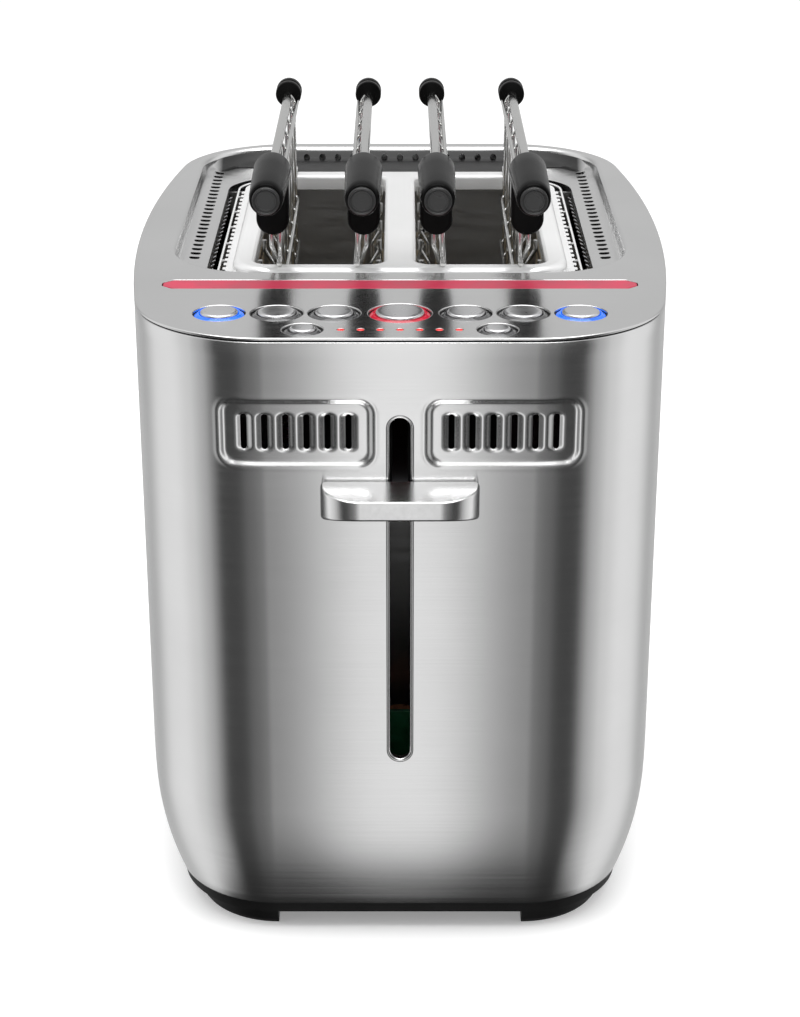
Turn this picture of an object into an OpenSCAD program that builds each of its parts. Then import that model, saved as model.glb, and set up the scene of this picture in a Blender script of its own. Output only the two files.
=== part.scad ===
// Two-slot pop-up sandwich toaster with a pair of hanging wire sandwich cages.
// Millimetres, +Z up, front towards -Y, origin on the floor under the middle of the outline box.

/* [Body] */
// Greatest width, across the bulged sides
body_w = 186; // [176:1:210]
// Length from the front face to the rear face
body_l = 257.5; // [250:0.5:300]
// Height of the seam between the body and the top cover
seam_h = 221; // [215:1:260]
// Radius of the upright corners
corner_r = 44; // [36:1:50]
// Radius of the bulged sides
side_r = 621; // [450:1:1200]
// Thickness of the steel skin
skin_t = 0.9; // [0.6:0.1:1.5]
// Height of the skin's lower edge
skin_z = 12; // [11:0.5:16]
// Height over which the skin curves in above its lower edge
curve_h = 42; // [30:1:55]
// How far the skin's lower edge is drawn in
curve_in = 8; // [5:0.5:11]

/* [Top cover] */
// Thickness of the cover
cover_t = 0.8; // [0.6:0.1:1.4]
// Chamfer of the cover's outer edge
cover_chamfer = 0.4; // [0.2:0.1:0.5]
// Width of the recess around the slot plate
recess_w = 157; // [152:0.5:160]
// Distance of the recess from the front face
recess_y = 72.5; // [71:0.5:76]
// Width of the cover's rim behind the recess
recess_rim = 6.5; // [5:0.5:9]
// Corner radius of the recess
recess_r = 30; // [24:1:34]
// Depth of the recess below the seam
recess_depth = 5; // [4:0.5:7]
// Thickness of the recess walls and floor
recess_t = 1.2; // [0.8:0.1:1.6]
// Open gap between the recess floor and the flange of the slot plate
vent_gap = 3.5; // [2.5:0.5:5]
// Slits along each side of the recess floor
slit_count = 24; // [12:1:26]
// Spacing of the slits
slit_pitch = 5.5; // [4.8:0.1:5.6]
// Length of a slit, across the body
slit_l = 3; // [2:0.5:4]
// Width of a slit
slit_w = 1.9; // [0.8:0.1:2.4]
// How far the slits sit behind the middle of the recess
slit_shift = 10; // [0:0.5:11]
// Vent holes along the back wall of the recess
hole_count = 15; // [5:2:17]
// Spacing of the vent holes
hole_pitch = 6.4; // [4.5:0.1:6.5]
// Diameter of a vent hole
hole_d = 3; // [2:0.5:3.5]

/* [Slot plate] */
// Width of the plate
plate_w = 116.4; // [112:0.2:120]
// Length of the plate
plate_l = 137; // [135:0.5:142]
// Gap between the recess edge and the front of the plate
plate_gap = 5.5; // [4.5:0.5:7]
// Corner radius of the plate
plate_r = 14; // [8:1:18]
// Height of the plate from its flange to its top
plate_h = 6.5; // [5:0.5:8]
// Sheet thickness of the plate
plate_t = 1; // [0.8:0.1:1.4]
// Flange width at the sides and the rear
flange_w = 5.9; // [4:0.1:6.2]
// Flange width at the front
flange_front = 2.5; // [1.5:0.5:3]
// Width of a bread slot
slot_w = 44.6; // [42:0.2:46]
// Distance between the middles of the two slots
slot_pitch = 56; // [54:0.5:58]
// Distance of the slots from the front edge of the plate
slot_front = 6.5; // [6:0.5:7.5]
// Distance of the slots from the rear edge of the plate
slot_rear = 8; // [7:0.5:12]
// Corner radius of a bread slot
slot_r = 5; // [3:0.5:8]

/* [Controls] */
// Distance of the button row from the front face
row_y = 25.8; // [25:0.1:28]
// Distance of the small buttons and lamps from the front face
small_y = 8.8; // [8.6:0.1:10]
// Offset of the first side button from the middle
button_x = 21.1; // [20:0.1:22]
// Spacing of the side buttons
button_pitch = 18.45; // [17.8:0.05:19]
// Offset of the small buttons from the middle
small_x = 30.6; // [29:0.1:32]
// Cover hole of a side button
side_hole = 17; // [15:0.1:17.4]
// Cover hole of the middle button
mid_hole = 20.5; // [18:0.1:21]
// Cover hole of a small button
small_hole = 13; // [11:0.1:13.4]
// Width of a light ring between its cover hole and its button cap
ring_w = 2.1; // [1.6:0.1:2.6]
// Rise of a button cap above the cover
cap_rise = 1; // [0.4:0.1:1.5]
// Travel of a button
cap_travel = 1.5; // [1:0.1:2]
// Diameter of an indicator lamp
lamp_d = 2.2; // [1.5:0.1:2.6]
// Spacing of the indicator lamps
lamp_pitch = 6.2; // [5.5:0.1:6.4]
// Number of indicator lamps
lamp_count = 7; // [3:2:7]
// Distance of the light bar from the front face
bar_y = 52.9; // [51:0.1:56]
// Width of the light bar
bar_w = 9.2; // [8:0.1:11]
// Length of the light bar
bar_l = 158; // [140:1:162]
// Length of the light bar's tapered ends
bar_taper = 3.5; // [3:0.5:9]

/* [Lever] */
// Width of the lever knob
knob_w = 50.6; // [44:0.2:56]
// Height of the lever knob's front edge
knob_h = 6.4; // [5.8:0.1:7.4]
// Height of the knob's top above the lever's arm, at the body
knob_rise = 3.6; // [3.2:0.1:4.5]
// Fall of the knob's top towards its front
knob_fall = 1.4; // [0.4:0.1:2]
// How much lower the knob's underside is at the body
knob_drop = 5; // [2:0.5:6]
// Reach of the knob in front of the body
knob_reach = 16; // [14:0.5:20]
// Gap between the knob and the body
knob_gap = 1; // [0.6:0.1:2]
// Radius of the knob's front corners
knob_r = 13; // [9:0.5:13]
// Height of the lever's arm below the seam
lever_drop = 50; // [48:0.5:54]
// Travel of the lever down to its latch
lever_travel = 88; // [80:1:90]
// Extra lift of the lever above its rest
lever_lift = 15; // [8:1:16]
// Width of the lever's track in the front
track_w = 8.1; // [7:0.1:10]
// Free length of the track past each end of the lever's travel
track_end = 7; // [3:0.5:8]
// Width of the lever arm
arm_w = 5; // [4:0.1:6]
// Height of the lever arm
arm_h = 6; // [5:0.1:6.4]

/* [Front vents] */
// Width of a vent pad
vent_w = 49.2; // [44:0.2:50]
// Height of a vent pad
vent_h = 22.6; // [18:0.2:24]
// Offset of a vent pad's middle from the middle of the body
vent_x = 32.9; // [32:0.1:34]
// Distance of the vent pads below the seam
vent_drop = 19.5; // [17:0.5:22]
// Depth of the stamped vent pads
vent_sink = 1.2; // [0.8:0.1:1.6]
// Corner radius of a vent pad
vent_r = 5; // [3:0.5:8]
// Slits in a vent pad
vent_slits = 6; // [3:1:6]
// Spacing of the vent slits
vent_pitch = 6.65; // [5.5:0.05:7]
// Width of a vent slit
vent_slit_w = 2; // [1.5:0.1:2.6]
// Height of a vent slit
vent_slit_h = 11.8; // [9:0.2:13]

/* [Sandwich cages] */
// Distance between the rods of a cage
cage_w = 31.2; // [30:0.2:31.4]
// Depth of a cage's hinge pin below the seam
cage_depth = 60; // [56:1:62]
// Height of the rods above the seam
rod_h = 31.5; // [28:0.5:36]
// Diameter of the rods
rod_d = 3.5; // [3:0.1:4]
// Diameter of the cage wires
wire_d = 1.6; // [1.4:0.1:2]
// Diameter of the hooks that hang a cage on the slot plate
hook_d = 2; // [1.6:0.1:2.4]
// Upright wires in a cage half
cage_uprights = 7; // [6:1:9]
// Distance of the end wires from the ends of the bread slot
cage_end = 3.5; // [2.5:0.5:5]
// Diameter of a grip at its rear end
grip_d = 12.8; // [12:0.1:14]
// Diameter of a grip at its front end
grip_tip_d = 10; // [9.6:0.1:12]
// Length of a grip
grip_l = 44; // [38:0.5:48]
// Depth of the stem below a grip, along the body
stem_l = 8; // [7:0.5:10]
// Width of the stem below a grip
stem_w = 11.2; // [11:0.1:13]
// Height of the stem's lower end above the seam
stem_z = 10; // [6:0.5:12]
// Diameter of the end caps
cap_d = 10; // [8:0.2:11]
// Length of the end caps
cap_l = 10; // [8:0.5:12]
// Diameter of a cage's hinge pin
pin_d = 2; // [1.8:0.1:2.4]
// Outer diameter of the hinge loops
loop_d = 5; // [4.4:0.1:5.4]
// Length of a hinge loop
loop_l = 6; // [4:0.5:8]

/* [Toasting chamber] */
// Sheet thickness of the chassis plates
chassis_t = 1.2; // [0.8:0.1:1.6]
// Half width of the chassis
chassis_x = 70; // [69:0.5:72]
// Distance of a bread guide from the middle of its slot
guide_x = 21; // [20.5:0.1:21.2]
// Inward travel of the bread guides
guide_travel = 2; // [1:0.1:2.4]
// Diameter of the guide rods
guide_d = 2; // [1.8:0.1:2.4]
// Upright wires in a bread guide
guide_wires = 5; // [4:1:8]
// Outward lean of the guides' flared tops
flare_a = 25; // [15:1:30]
// Thickness of a mica board
mica_t = 0.8; // [0.6:0.1:1.2]
// Heater ribbons on each face of a mica board
ribbon_count = 8; // [5:1:10]
// Height of a heater ribbon
ribbon_h = 2; // [1.5:0.1:3]
// Thickness of a heater ribbon
ribbon_t = 0.4; // [0.3:0.1:0.6]
// Thickness of a lifter bar
lifter_w = 3; // [2.5:0.1:4]
// Height of a lifter bar
lifter_h = 6; // [5:0.5:8]
// Reach of the lifter fingers to each side
finger_reach = 11; // [8:0.5:13]
// Fingers on a lifter bar
finger_count = 7; // [4:1:9]

/* [Lever works] */
// Diameter of the carriage's guide shafts
shaft_d = 5; // [4:0.1:6]
// Distance between the guide shafts
shaft_pitch = 26; // [25:0.5:28]
// Outer diameter of the carriage bushes
bush_d = 10; // [9:0.2:10.4]
// Length of the carriage bushes
bush_l = 40; // [30:1:42]
// Half width of the carriage plate
carriage_x = 36; // [34:0.5:38]
// Thickness of the carriage plate
carriage_t = 5; // [4:0.5:6]
// Outer diameter of the lift spring
spring_d = 8; // [6:0.5:9]
// Wire diameter of the lift spring
spring_wire = 1; // [0.8:0.1:1.4]
// Thickness of the latch armature
armature_t = 3; // [2:0.5:4]
// Air gap between magnet and armature with the lever down
latch_gap = 0.5; // [0.3:0.1:0.8]
// Distance of the main board from the front face
board_y = 30; // [26:0.5:32]
// Half width of the main board
board_x = 45; // [40:1:50]

/* [Base] */
// Thickness of the base plate
base_t = 3.5; // [3:0.1:4]
// Height of the base plate's underside
base_z = 8; // [7:0.1:8.4]
// Height of the base plate's rim above its underside
base_rim = 8; // [6:0.5:9]
// Thickness of the rubber foot pads
pad_t = 1.5; // [1:0.1:2.5]
// Inset of the feet from the outline of the body
foot_in = 14; // [12:0.5:16]
// Width of the feet
foot_w = 16; // [14:0.5:20]
// Angle that a foot follows the body's corner
foot_a = 62; // [45:1:75]
// Width of the crumb tray
tray_w = 116; // [110:1:120]
// Height of the crumb tray's walls
tray_h = 8; // [6:0.5:9]
// Sheet thickness of the crumb tray
tray_t = 1; // [0.8:0.1:1.4]
// Width of the crumb tray's grip
tray_grip_w = 60; // [40:1:80]
// Bore of the cord inlet
inlet_d = 7; // [6:0.1:8]
// Outer diameter of the cord inlet's flanges
inlet_flange = 16; // [14:0.5:18]
// Thickness of the cord inlet's flanges
inlet_t = 2; // [1.5:0.1:3]
// Offset of the cord inlet from the middle
inlet_x = 30; // [0:1:34]
// Height of the cord inlet
inlet_z = 70; // [66:1:90]

/* [Fits] */
// Running clearance on the radius of shafts and pins
fit_run = 0.05; // [0.02:0.01:0.1]
// Seating clearance between pieces that don't move
fit_seat = 0.15; // [0.1:0.05:0.3]
// Clearance around pieces that move
fit_move = 0.3; // [0.3:0.05:0.4]

/* [Hidden] */

$fn = 64;
// Finer steps for the long flat arcs of the outline and the skin's lower curve
arc_fn = 256;
// Overlap of pieces that are joined into one solid
bond = 0.5;
// Reach of a cutter past what it cuts
past = 4;

// Outline of the body: straight ends, round corners and bulged sides that meet tangent
mid_y = body_l / 2;
side_cx = body_w / 2 - side_r;
corner_cx = side_cx + sqrt(pow(side_r - corner_r, 2) - pow(mid_y - corner_r, 2));
side_a = atan2(mid_y - corner_r, corner_cx - side_cx);
front_y = -(body_l + inlet_t - knob_reach) / 2;

// Lower curve of the skin
curve_r = (curve_h * curve_h + curve_in * curve_in) / (2 * curve_in);
curve_z = skin_z + curve_h;
skin_in = curve_r - sqrt(pow(curve_r - skin_t, 2) - curve_h * curve_h);

// Recess, slot plate and bread slots
cover_z = seam_h + cover_t;
recess_l = body_l - recess_y - recess_rim;
recess_cy = recess_y + recess_l / 2;
recess_z = seam_h - recess_depth;
plate_y = recess_y + plate_gap;
plate_cy = plate_y + plate_l / 2;
flange_z = seam_h - plate_h;
flange_x = plate_w / 2 + flange_w;
flange_y1 = plate_y + plate_l + flange_w;
opening_x = flange_x + vent_gap;
opening_y0 = recess_y + recess_t;
opening_l = flange_y1 + vent_gap - opening_y0;
slot_l = plate_l - slot_front - slot_rear;
slot_y0 = plate_y + slot_front;
slot_y1 = slot_y0 + slot_l;
slot_cy = slot_y0 + slot_l / 2;
slot_x = slot_pitch / 2;

// Base, chassis and tray
base_in = skin_in + fit_seat;
base_top = base_z + base_t;
rim_t = 2.5;
rim_step = 0.6;
chassis_front = 4.5;
chassis_rear = 4;
chassis_gap = 1.5;
chassis_y0 = slot_y0 - chassis_front;
chassis_y1 = slot_y1 + chassis_rear;
chassis_top = recess_z - recess_t - chassis_gap;
chamber_y0 = chassis_y0 + chassis_t;
chamber_l = chassis_y1 - chamber_y0;
tray_gap = 4;
tray_side = 1;
tab_t = 2;
tray_z = base_top + fit_move;
tray_y0 = chamber_y0 + tray_gap;
tray_y1 = body_l - skin_in - skin_t;
inlet_wall = 2;
inlet_neck = inlet_d + 2 * inlet_wall;

// Screws
screw_d = 3;
screw_l = 8;
screw_room = 1;
screw_head_d = 5.6;
screw_head_h = 1.8;
screw_slot = 0.8;
foot_floor = 2;
pad_edge = 1;

// Light rings, button caps, switches and their board
ring_drop = 3;
ring_flange = 1.2;
ring_lip = 0.6;
ring_sink = 0.4;
lamp_rise = 0.2;
bar_lip = 2;
over_travel = 0.2;
stem_gap = cap_travel + over_travel;
switch_h = 4;
control_t = 1.6;
control_edge = 10;
control_r = 12;
switch_w = 6;
dome_d = 3.4;
dome_h = 0.8;
plunger_d = 4;
cap_flange = 1.2;
cap_lip = 0.8;
plunger_l = 2;
cap_z0 = seam_h - ring_drop - fit_move - cap_flange;
switch_z1 = cap_z0 - plunger_l - stem_gap;
control_z = switch_z1 - switch_h - control_t;
// Buttons: offset from the middle, distance from the front face and cover hole
button_places = [
    [0, row_y, mid_hole],
    [-button_x, row_y, side_hole],
    [-button_x - button_pitch, row_y, side_hole],
    [-button_x - 2 * button_pitch, row_y, side_hole],
    [button_x, row_y, side_hole],
    [button_x + button_pitch, row_y, side_hole],
    [button_x + 2 * button_pitch, row_y, side_hole],
    [-small_x, small_y, small_hole],
    [small_x, small_y, small_hole]
];
// Posts of the control board, behind the row of buttons and beside the small ones
post_d = 6;
post_back = 14.5;
post_out = 16.4;
post_places = [
    [button_x + 1.5 * button_pitch, row_y + post_back],
    [small_x + post_out, small_y]
];

// Lever works
lever_z = seam_h - lever_drop;
knob_edge = 0.8;
track_z1 = lever_z + lever_lift + arm_h / 2 + track_end;
track_z0 = lever_z - lever_travel - arm_h / 2 - track_end;
shaft_gap = 14;
shaft_y = chassis_y0 - shaft_gap;
bush_sink = 1;
end_gap = 1;
carriage_y1 = shaft_y - bush_d / 2 + bush_sink;
carriage_y0 = carriage_y1 - carriage_t;
carriage_z0 = lever_z - bush_l / 2 - end_gap;
carriage_z1 = carriage_z0 + bush_l;
bracket_t = 2;
bracket_z = carriage_z1 + lever_lift + end_gap;
lifter_gap = 2;
lifter_side = 1;
finger_d = 2;
finger_end = 8;
finger_sink = 0.2;
lifter_foot = 5;
lifter_foot_t = 2;
lifter_z1 = seam_h - cage_depth - loop_d / 2 - lever_lift - lifter_gap;
lifter_z0 = lifter_z1 - lifter_h;
wing_drop = 3;
wing_z0 = lifter_z0 - wing_drop;
shelf_t = 3;
shelf_reach = 7;
shelf_edge = 1;
shelf_y1 = shaft_y + shelf_reach;
magnet_gap = 4;
core_w = 5;
core_bare = 2;
yoke_h = 4;
magnet_x = shaft_pitch / 2 - shaft_d / 2 - magnet_gap;
magnet_z1 = carriage_z0 - armature_t - lever_travel - latch_gap;
spring_gap = 2;
spring_x = carriage_x + spring_d / 2 + spring_gap;
lug_t = 6;
board_t = 1.6;
board_gap = 4;
part_edge = 6;
relay_w = 19;
relay_l = 15;
relay_h = 16;
coil_w = 20;
coil_l = 14;
coil_h = 24;
can_d = 8;
can_pitch = 11;
chip_w = 14;
chip_l = 6;
chip_h = 12;
board_z1 = lever_z - lever_travel - arm_h / 2 - board_gap;
boss_wall = 3;
boss_d = shaft_d + 2 * boss_wall;
boss_h = 8;

// Bread guides: the two sets sit at different heights, so that their links pass each other
guide_drop = 23;
guide_top = seam_h - guide_drop;
guide_low = 60;
guide_step = 6;
guide_end = 10;
guide_past = 3;
link_t = 2;
link_h = 3;
link_y = chassis_y0 - 2 * link_t;
flare_l = 9;
flare_gap = 2;

// Mica boards between and beside the slots
mica_edge = 4;
mica_gap = 5;
mica_z0 = guide_low + mica_edge;
mica_h = guide_top + mica_edge - mica_z0;
mica_x = slot_x + guide_x + guide_d / 2 + mica_gap;

// Cages
cage_y0 = slot_y0 + cage_end;
cage_y1 = slot_y1 - cage_end;
upright_pitch = (cage_y1 - cage_y0) / (cage_uprights - 1);
weld = 0.3;
upright_x = cage_w / 2 - rod_d / 2 - wire_d / 2 + weld;
rail_x = upright_x - wire_d + weld;
pin_z = seam_h - cage_depth;
rod_z = seam_h + rod_h;
stem_past = 0.5;
grip_y1 = slot_y0 + stem_l - stem_past;
grip_y0 = grip_y1 - grip_l;
grip_bore = 20;
wire_socket = 6;
cap_end = 3;
cap_bore = cap_l - cap_end;
cap_gap = 2.5;
cap_step = 3.5;
groove = 0.8;
cap_y0 = slot_y1 + cap_gap;
hook_z = seam_h + fit_move + hook_d / 2;
hook_end = 1.5;
pin_head = 1;
pin_lip = 0.7;
rail_end = 1;
rail_top = 1.5;
rail_step = 18;
rail_low = 8;
// Drops of the rails below the rod: one at the rod and three inside the slot
rail_drops = [rail_top, for (i = [0:2]) rod_h + rail_low + i * rail_step];
// Uprights that carry hinge loops on the two halves of a cage
frame_loops = [1, cage_uprights - 2];
jaw_loops = [2, cage_uprights - 3];

// Quarter of a disc
module quarter(r, h) {
    rotate_extrude(angle = 90) square([r, h]);
}

// Slab with upright rounded corners, centred on its middle, standing on z = 0
module rounded_slab(w, l, h, r) {
    translate([-w / 2 + r, -l / 2, 0]) cube([w - 2 * r, l, h]);
    translate([-w / 2, -l / 2 + r, 0]) cube([w, l - 2 * r, h]);
    for (turn = [0:3]) {
        sx = (turn == 0 || turn == 3) ? 1 : -1;
        sy = turn < 2 ? 1 : -1;
        translate([sx * (w / 2 - r), sy * (l / 2 - r), 0]) rotate([0, 0, 90 * turn]) quarter(r, h);
    }
}

// Bar with half-round ends along Y
module round_slot(w, l, h) {
    translate([-w / 2, -l / 2 + w / 2, 0]) cube([w, l - w, h]);
    translate([0, l / 2 - w / 2, 0]) rotate_extrude(angle = 180) square([w / 2, h]);
    translate([0, -l / 2 + w / 2, 0]) rotate([0, 0, 180]) rotate_extrude(angle = 180) square([w / 2, h]);
}

// Turns an upright shape so that it runs along +Y from y = 0, with its own Y up
module along_y(h) {
    translate([0, h, 0]) rotate([90, 0, 0]) children();
}

// Rod along Y
module rod_y(d, l) {
    rotate([-90, 0, 0]) cylinder(d = d, h = l);
}

// Rod along X
module rod_x(d, l) {
    rotate([0, 90, 0]) cylinder(d = d, h = l);
}

// Puts a piece that is drawn from the front face into the frame of the object
module place() {
    translate([0, front_y, 0]) children();
}

module both_sides() {
    children();
    mirror([1, 0, 0]) children();
}

module both_ends() {
    children();
    translate([0, body_l, 0]) mirror([0, 1, 0]) children();
}

// Moves along X in a coarse and a fine step, so that the place of the corners keeps all its digits
module to_corner() {
    coarse = round(corner_cx * 100) / 100;
    translate([coarse, 0, 0]) translate([corner_cx - coarse, 0, 0]) children();
}

// Region behind the plane where the corner's arc meets the side's arc
module side_region() {
    reach = corner_r + past;
    linear_extrude(2 * seam_h)
        polygon([
            [side_cx, mid_y], [corner_cx + reach * cos(side_a), corner_r - reach * sin(side_a)],
            [body_w, corner_r], [body_w, mid_y + past], [side_cx, mid_y + past]
        ]);
}

// Turns a profile about the upright axis of a front corner, up to the side
module along_corner() {
    both_sides() difference() {
        to_corner() translate([0, corner_r, 0]) rotate([0, 0, -90])
            rotate_extrude(angle = 90) children();
        side_region();
    }
}

// Turns a profile about the middle of a bulged side, from the corner to the middle of the body
module along_half_side() {
    both_sides() intersection() {
        translate([side_cx, mid_y, 0]) mirror([0, 1, 0])
            rotate_extrude(angle = 2 * side_a, $fn = arc_fn) children();
        side_region();
    }
}

// Keeps what lies between the axes of the two front corners
module between_corners() {
    difference() {
        children();
        both_sides() to_corner() translate([0, -body_l, -past]) cube([body_w, 3 * body_l, 2 * seam_h]);
    }
}

// Sweeps a profile around the front of the outline; its x is the distance outward, its y the height
module along_front() {
    between_corners() rotate([90, 0, -90]) linear_extrude(body_w, center = true) children();
    along_corner() translate([corner_r, 0]) children();
}

// Sweeps a profile around the whole outline
module along_outline() {
    both_ends() {
        along_front() children();
        along_half_side() translate([side_r, 0]) children();
    }
}

// Flat sheet that fills the outline, drawn in by inset
module outline_sheet(inset, h) {
    reach = body_w / 2 - corner_cx + past;
    between_corners() translate([-body_w / 2, inset, 0]) cube([body_w, body_l - 2 * inset, h]);
    both_ends() {
        along_corner() square([corner_r - inset, h]);
        along_half_side() translate([side_r - reach, 0]) square([reach - inset, h]);
    }
}

module skin_profile() {
    translate([-skin_t, curve_z]) square([skin_t, seam_h - curve_z]);
    intersection() {
        translate([-curve_r, curve_z]) difference() {
            circle(curve_r, $fn = arc_fn);
            circle(curve_r - skin_t, $fn = arc_fn);
        }
        translate([-curve_in - 2 * skin_t, skin_z]) square([curve_in + 2 * skin_t, curve_h]);
    }
}

// Opening of a vent pad, grown by edge, along Y from the front
module vent_window(edge, depth) {
    translate([0, -past, seam_h - vent_drop - vent_h / 2]) along_y(depth + past)
        rounded_slab(vent_w + 2 * edge, vent_h + 2 * edge, depth + past, vent_r + edge);
}

module body_shell() {
    depth = corner_r;
    pad_z = seam_h - vent_drop - vent_h - past;
    pad_h = vent_h + 2 * past;
    color("silver") place() difference() {
        union() {
            along_outline() skin_profile();
            // Backing of the stamped pads
            for (s = [-1, 1]) intersection() {
                along_front() translate([-vent_sink - skin_t, pad_z])
                    square([vent_sink + skin_t / 2, pad_h]);
                translate([s * vent_x, 0, 0]) vent_window(skin_t, depth);
            }
        }
        // Stamped pads and their slits
        for (s = [-1, 1]) {
            intersection() {
                along_front() translate([-vent_sink, pad_z]) square([vent_sink + past, pad_h]);
                translate([s * vent_x, 0, 0]) vent_window(0, depth);
            }
            for (i = [0:vent_slits - 1])
                translate([
                    s * vent_x + (i - (vent_slits - 1) / 2) * vent_pitch,
                    -past,
                    seam_h - vent_drop - vent_h / 2
                ]) along_y(depth) round_slot(vent_slit_w, vent_slit_h, depth);
        }
        // Track of the lever
        translate([0, -past, (track_z0 + track_z1) / 2])
            along_y(2 * past) round_slot(track_w, track_z1 - track_z0, 2 * past);
        // Mouth of the crumb tray
        translate([-tray_w / 2 - tray_side, body_l - corner_r, skin_z - past])
            cube([
                tray_w + 2 * tray_side, corner_r + past,
                tray_z + tray_h + tray_side - skin_z + past
            ]);
        // Seat of the cord inlet
        translate([inlet_x, body_l - past, inlet_z]) rod_y(inlet_neck, 2 * past);
    }
}

module top_cover() {
    color("gainsboro") place() difference() {
        union() {
            translate([0, 0, seam_h]) outline_sheet(cover_t, cover_t);
            along_outline() translate([0, seam_h])
                polygon([
                    [-2 * cover_t, 0], [0, 0], [0, cover_t - cover_chamfer],
                    [-cover_chamfer, cover_t], [-2 * cover_t, cover_t]
                ]);
            // Walls and floor of the recess
            translate([0, recess_cy, recess_z - recess_t])
                rounded_slab(
                    recess_w + 2 * recess_t, recess_l + 2 * recess_t,
                    recess_depth + recess_t + bond, recess_r + recess_t
                );
            // Posts of the control board
            both_sides() for (p = post_places)
                translate([p[0], p[1], control_z + control_t])
                    cylinder(d = post_d, h = seam_h + bond - control_z - control_t);
        }
        translate([0, recess_cy, recess_z])
            rounded_slab(recess_w, recess_l, recess_depth + past, recess_r);
        translate([0, opening_y0 + opening_l / 2, recess_z - past])
            rounded_slab(2 * opening_x, opening_l, 2 * past, plate_r);
        // Slits along the sides of the recess floor
        for (s = [-1, 1], i = [0:slit_count - 1])
            translate([
                s * (opening_x + recess_w / 2) / 2 - slit_l / 2,
                recess_cy + slit_shift + (i - (slit_count - 1) / 2) * slit_pitch - slit_w / 2,
                recess_z - past
            ]) cube([slit_l, slit_w, 2 * past]);
        // Holes in the back wall of the recess
        for (i = [0:hole_count - 1])
            translate([
                (i - (hole_count - 1) / 2) * hole_pitch,
                recess_y + recess_l - past / 2,
                recess_z + recess_depth / 2
            ]) rod_y(hole_d, past);
        for (b = button_places)
            translate([b[0], b[1], seam_h - past]) cylinder(d = b[2], h = 2 * past);
        for (i = [0:lamp_count - 1])
            translate([(i - (lamp_count - 1) / 2) * lamp_pitch, small_y, seam_h - past])
                cylinder(d = lamp_d + 2 * fit_seat, h = 2 * past);
        translate([0, 0, seam_h - past]) linear_extrude(2 * past) bar_outline(fit_seat);
        // Screw holes in the posts
        both_sides() for (p = post_places)
            translate([p[0], p[1], control_z])
                cylinder(d = screw_d + 2 * fit_run, h = screw_l + screw_room);
    }
}

module slot_plate() {
    flange_l = flange_front + plate_l + flange_w;
    color("whitesmoke") place() difference() {
        union() {
            translate([0, plate_cy, flange_z]) rounded_slab(plate_w, plate_l, plate_h, plate_r);
            translate([0, plate_y - flange_front + flange_l / 2, flange_z])
                rounded_slab(2 * flange_x, flange_l, plate_t, plate_r);
        }
        // Hollow under the plate, around the collars of the slots
        difference() {
            translate([0, plate_cy, flange_z - past])
                rounded_slab(
                    plate_w - 2 * plate_t, plate_l - 2 * plate_t,
                    plate_h - plate_t + past, plate_r - plate_t
                );
            for (s = [-1, 1])
                translate([s * slot_x, slot_cy, flange_z])
                    rounded_slab(slot_w + 2 * plate_t, slot_l + 2 * plate_t, plate_h, slot_r + plate_t);
        }
        for (s = [-1, 1])
            translate([s * slot_x, slot_cy, flange_z - past])
                rounded_slab(slot_w, slot_l, plate_h + 2 * past, slot_r);
    }
}

// Tapered outline of the light bar, grown by edge
module bar_outline(edge) {
    half = bar_l / 2 + edge;
    low = bar_y - edge;
    high = bar_y + bar_w + edge;
    cut = (high - low) / 3;
    polygon([
        [-half + bar_taper, low], [half - bar_taper, low], [half, low + cut], [half, high - cut],
        [half - bar_taper, high], [-half + bar_taper, high], [-half, high - cut], [-half, low + cut]
    ]);
}

module light_bar() {
    color("crimson") place() {
        translate([0, 0, seam_h - bond]) linear_extrude(cover_t + bond) bar_outline(0);
        translate([0, 0, seam_h - bar_lip]) linear_extrude(bar_lip) bar_outline(bar_lip);
    }
}

module indicator_lamps() {
    color("red") place() for (i = [0:lamp_count - 1])
        translate([(i - (lamp_count - 1) / 2) * lamp_pitch, small_y, control_z + control_t])
            cylinder(d = lamp_d, h = cover_z + lamp_rise - control_z - control_t);
}

// Light ring that clips under the cover
module light_ring(b) {
    hole = b[2];
    translate([b[0], b[1], seam_h]) difference() {
        union() {
            translate([0, 0, -ring_drop])
                cylinder(d = hole - 2 * fit_seat, h = ring_drop + cover_t - ring_sink);
            translate([0, 0, -ring_flange]) cylinder(d = hole + 2 * ring_lip, h = ring_flange);
        }
        translate([0, 0, -ring_drop - past])
            cylinder(d = hole - 2 * ring_w, h = ring_drop + cover_t + 2 * past);
    }
}

module blue_light_rings() {
    color("dodgerblue") place() for (i = [3, 6]) light_ring(button_places[i]);
}

module red_light_ring() {
    color("crimson") place() light_ring(button_places[0]);
}

module plain_rings() {
    color("darkgray") place() for (i = [1, 2, 4, 5]) light_ring(button_places[i]);
}

module small_rings() {
    color("darkgray") place() for (i = [7, 8]) light_ring(button_places[i]);
}

// Button cap: a retaining flange below its ring, a plunger below and a chamfered top
module button_cap(b) {
    d = b[2] - 2 * ring_w - 2 * fit_move;
    edge = cap_rise;
    color("lightgray") place() translate([b[0], b[1], 0]) {
        translate([0, 0, cap_z0]) cylinder(d = d + 2 * cap_lip, h = cap_flange);
        translate([0, 0, cap_z0]) cylinder(d = d, h = cover_z - cap_z0);
        translate([0, 0, cover_z]) cylinder(d1 = d, d2 = d - 2 * edge, h = edge);
        translate([0, 0, switch_z1 + stem_gap])
            cylinder(d = plunger_d, h = cap_z0 + bond - switch_z1 - stem_gap);
    }
}

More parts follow.
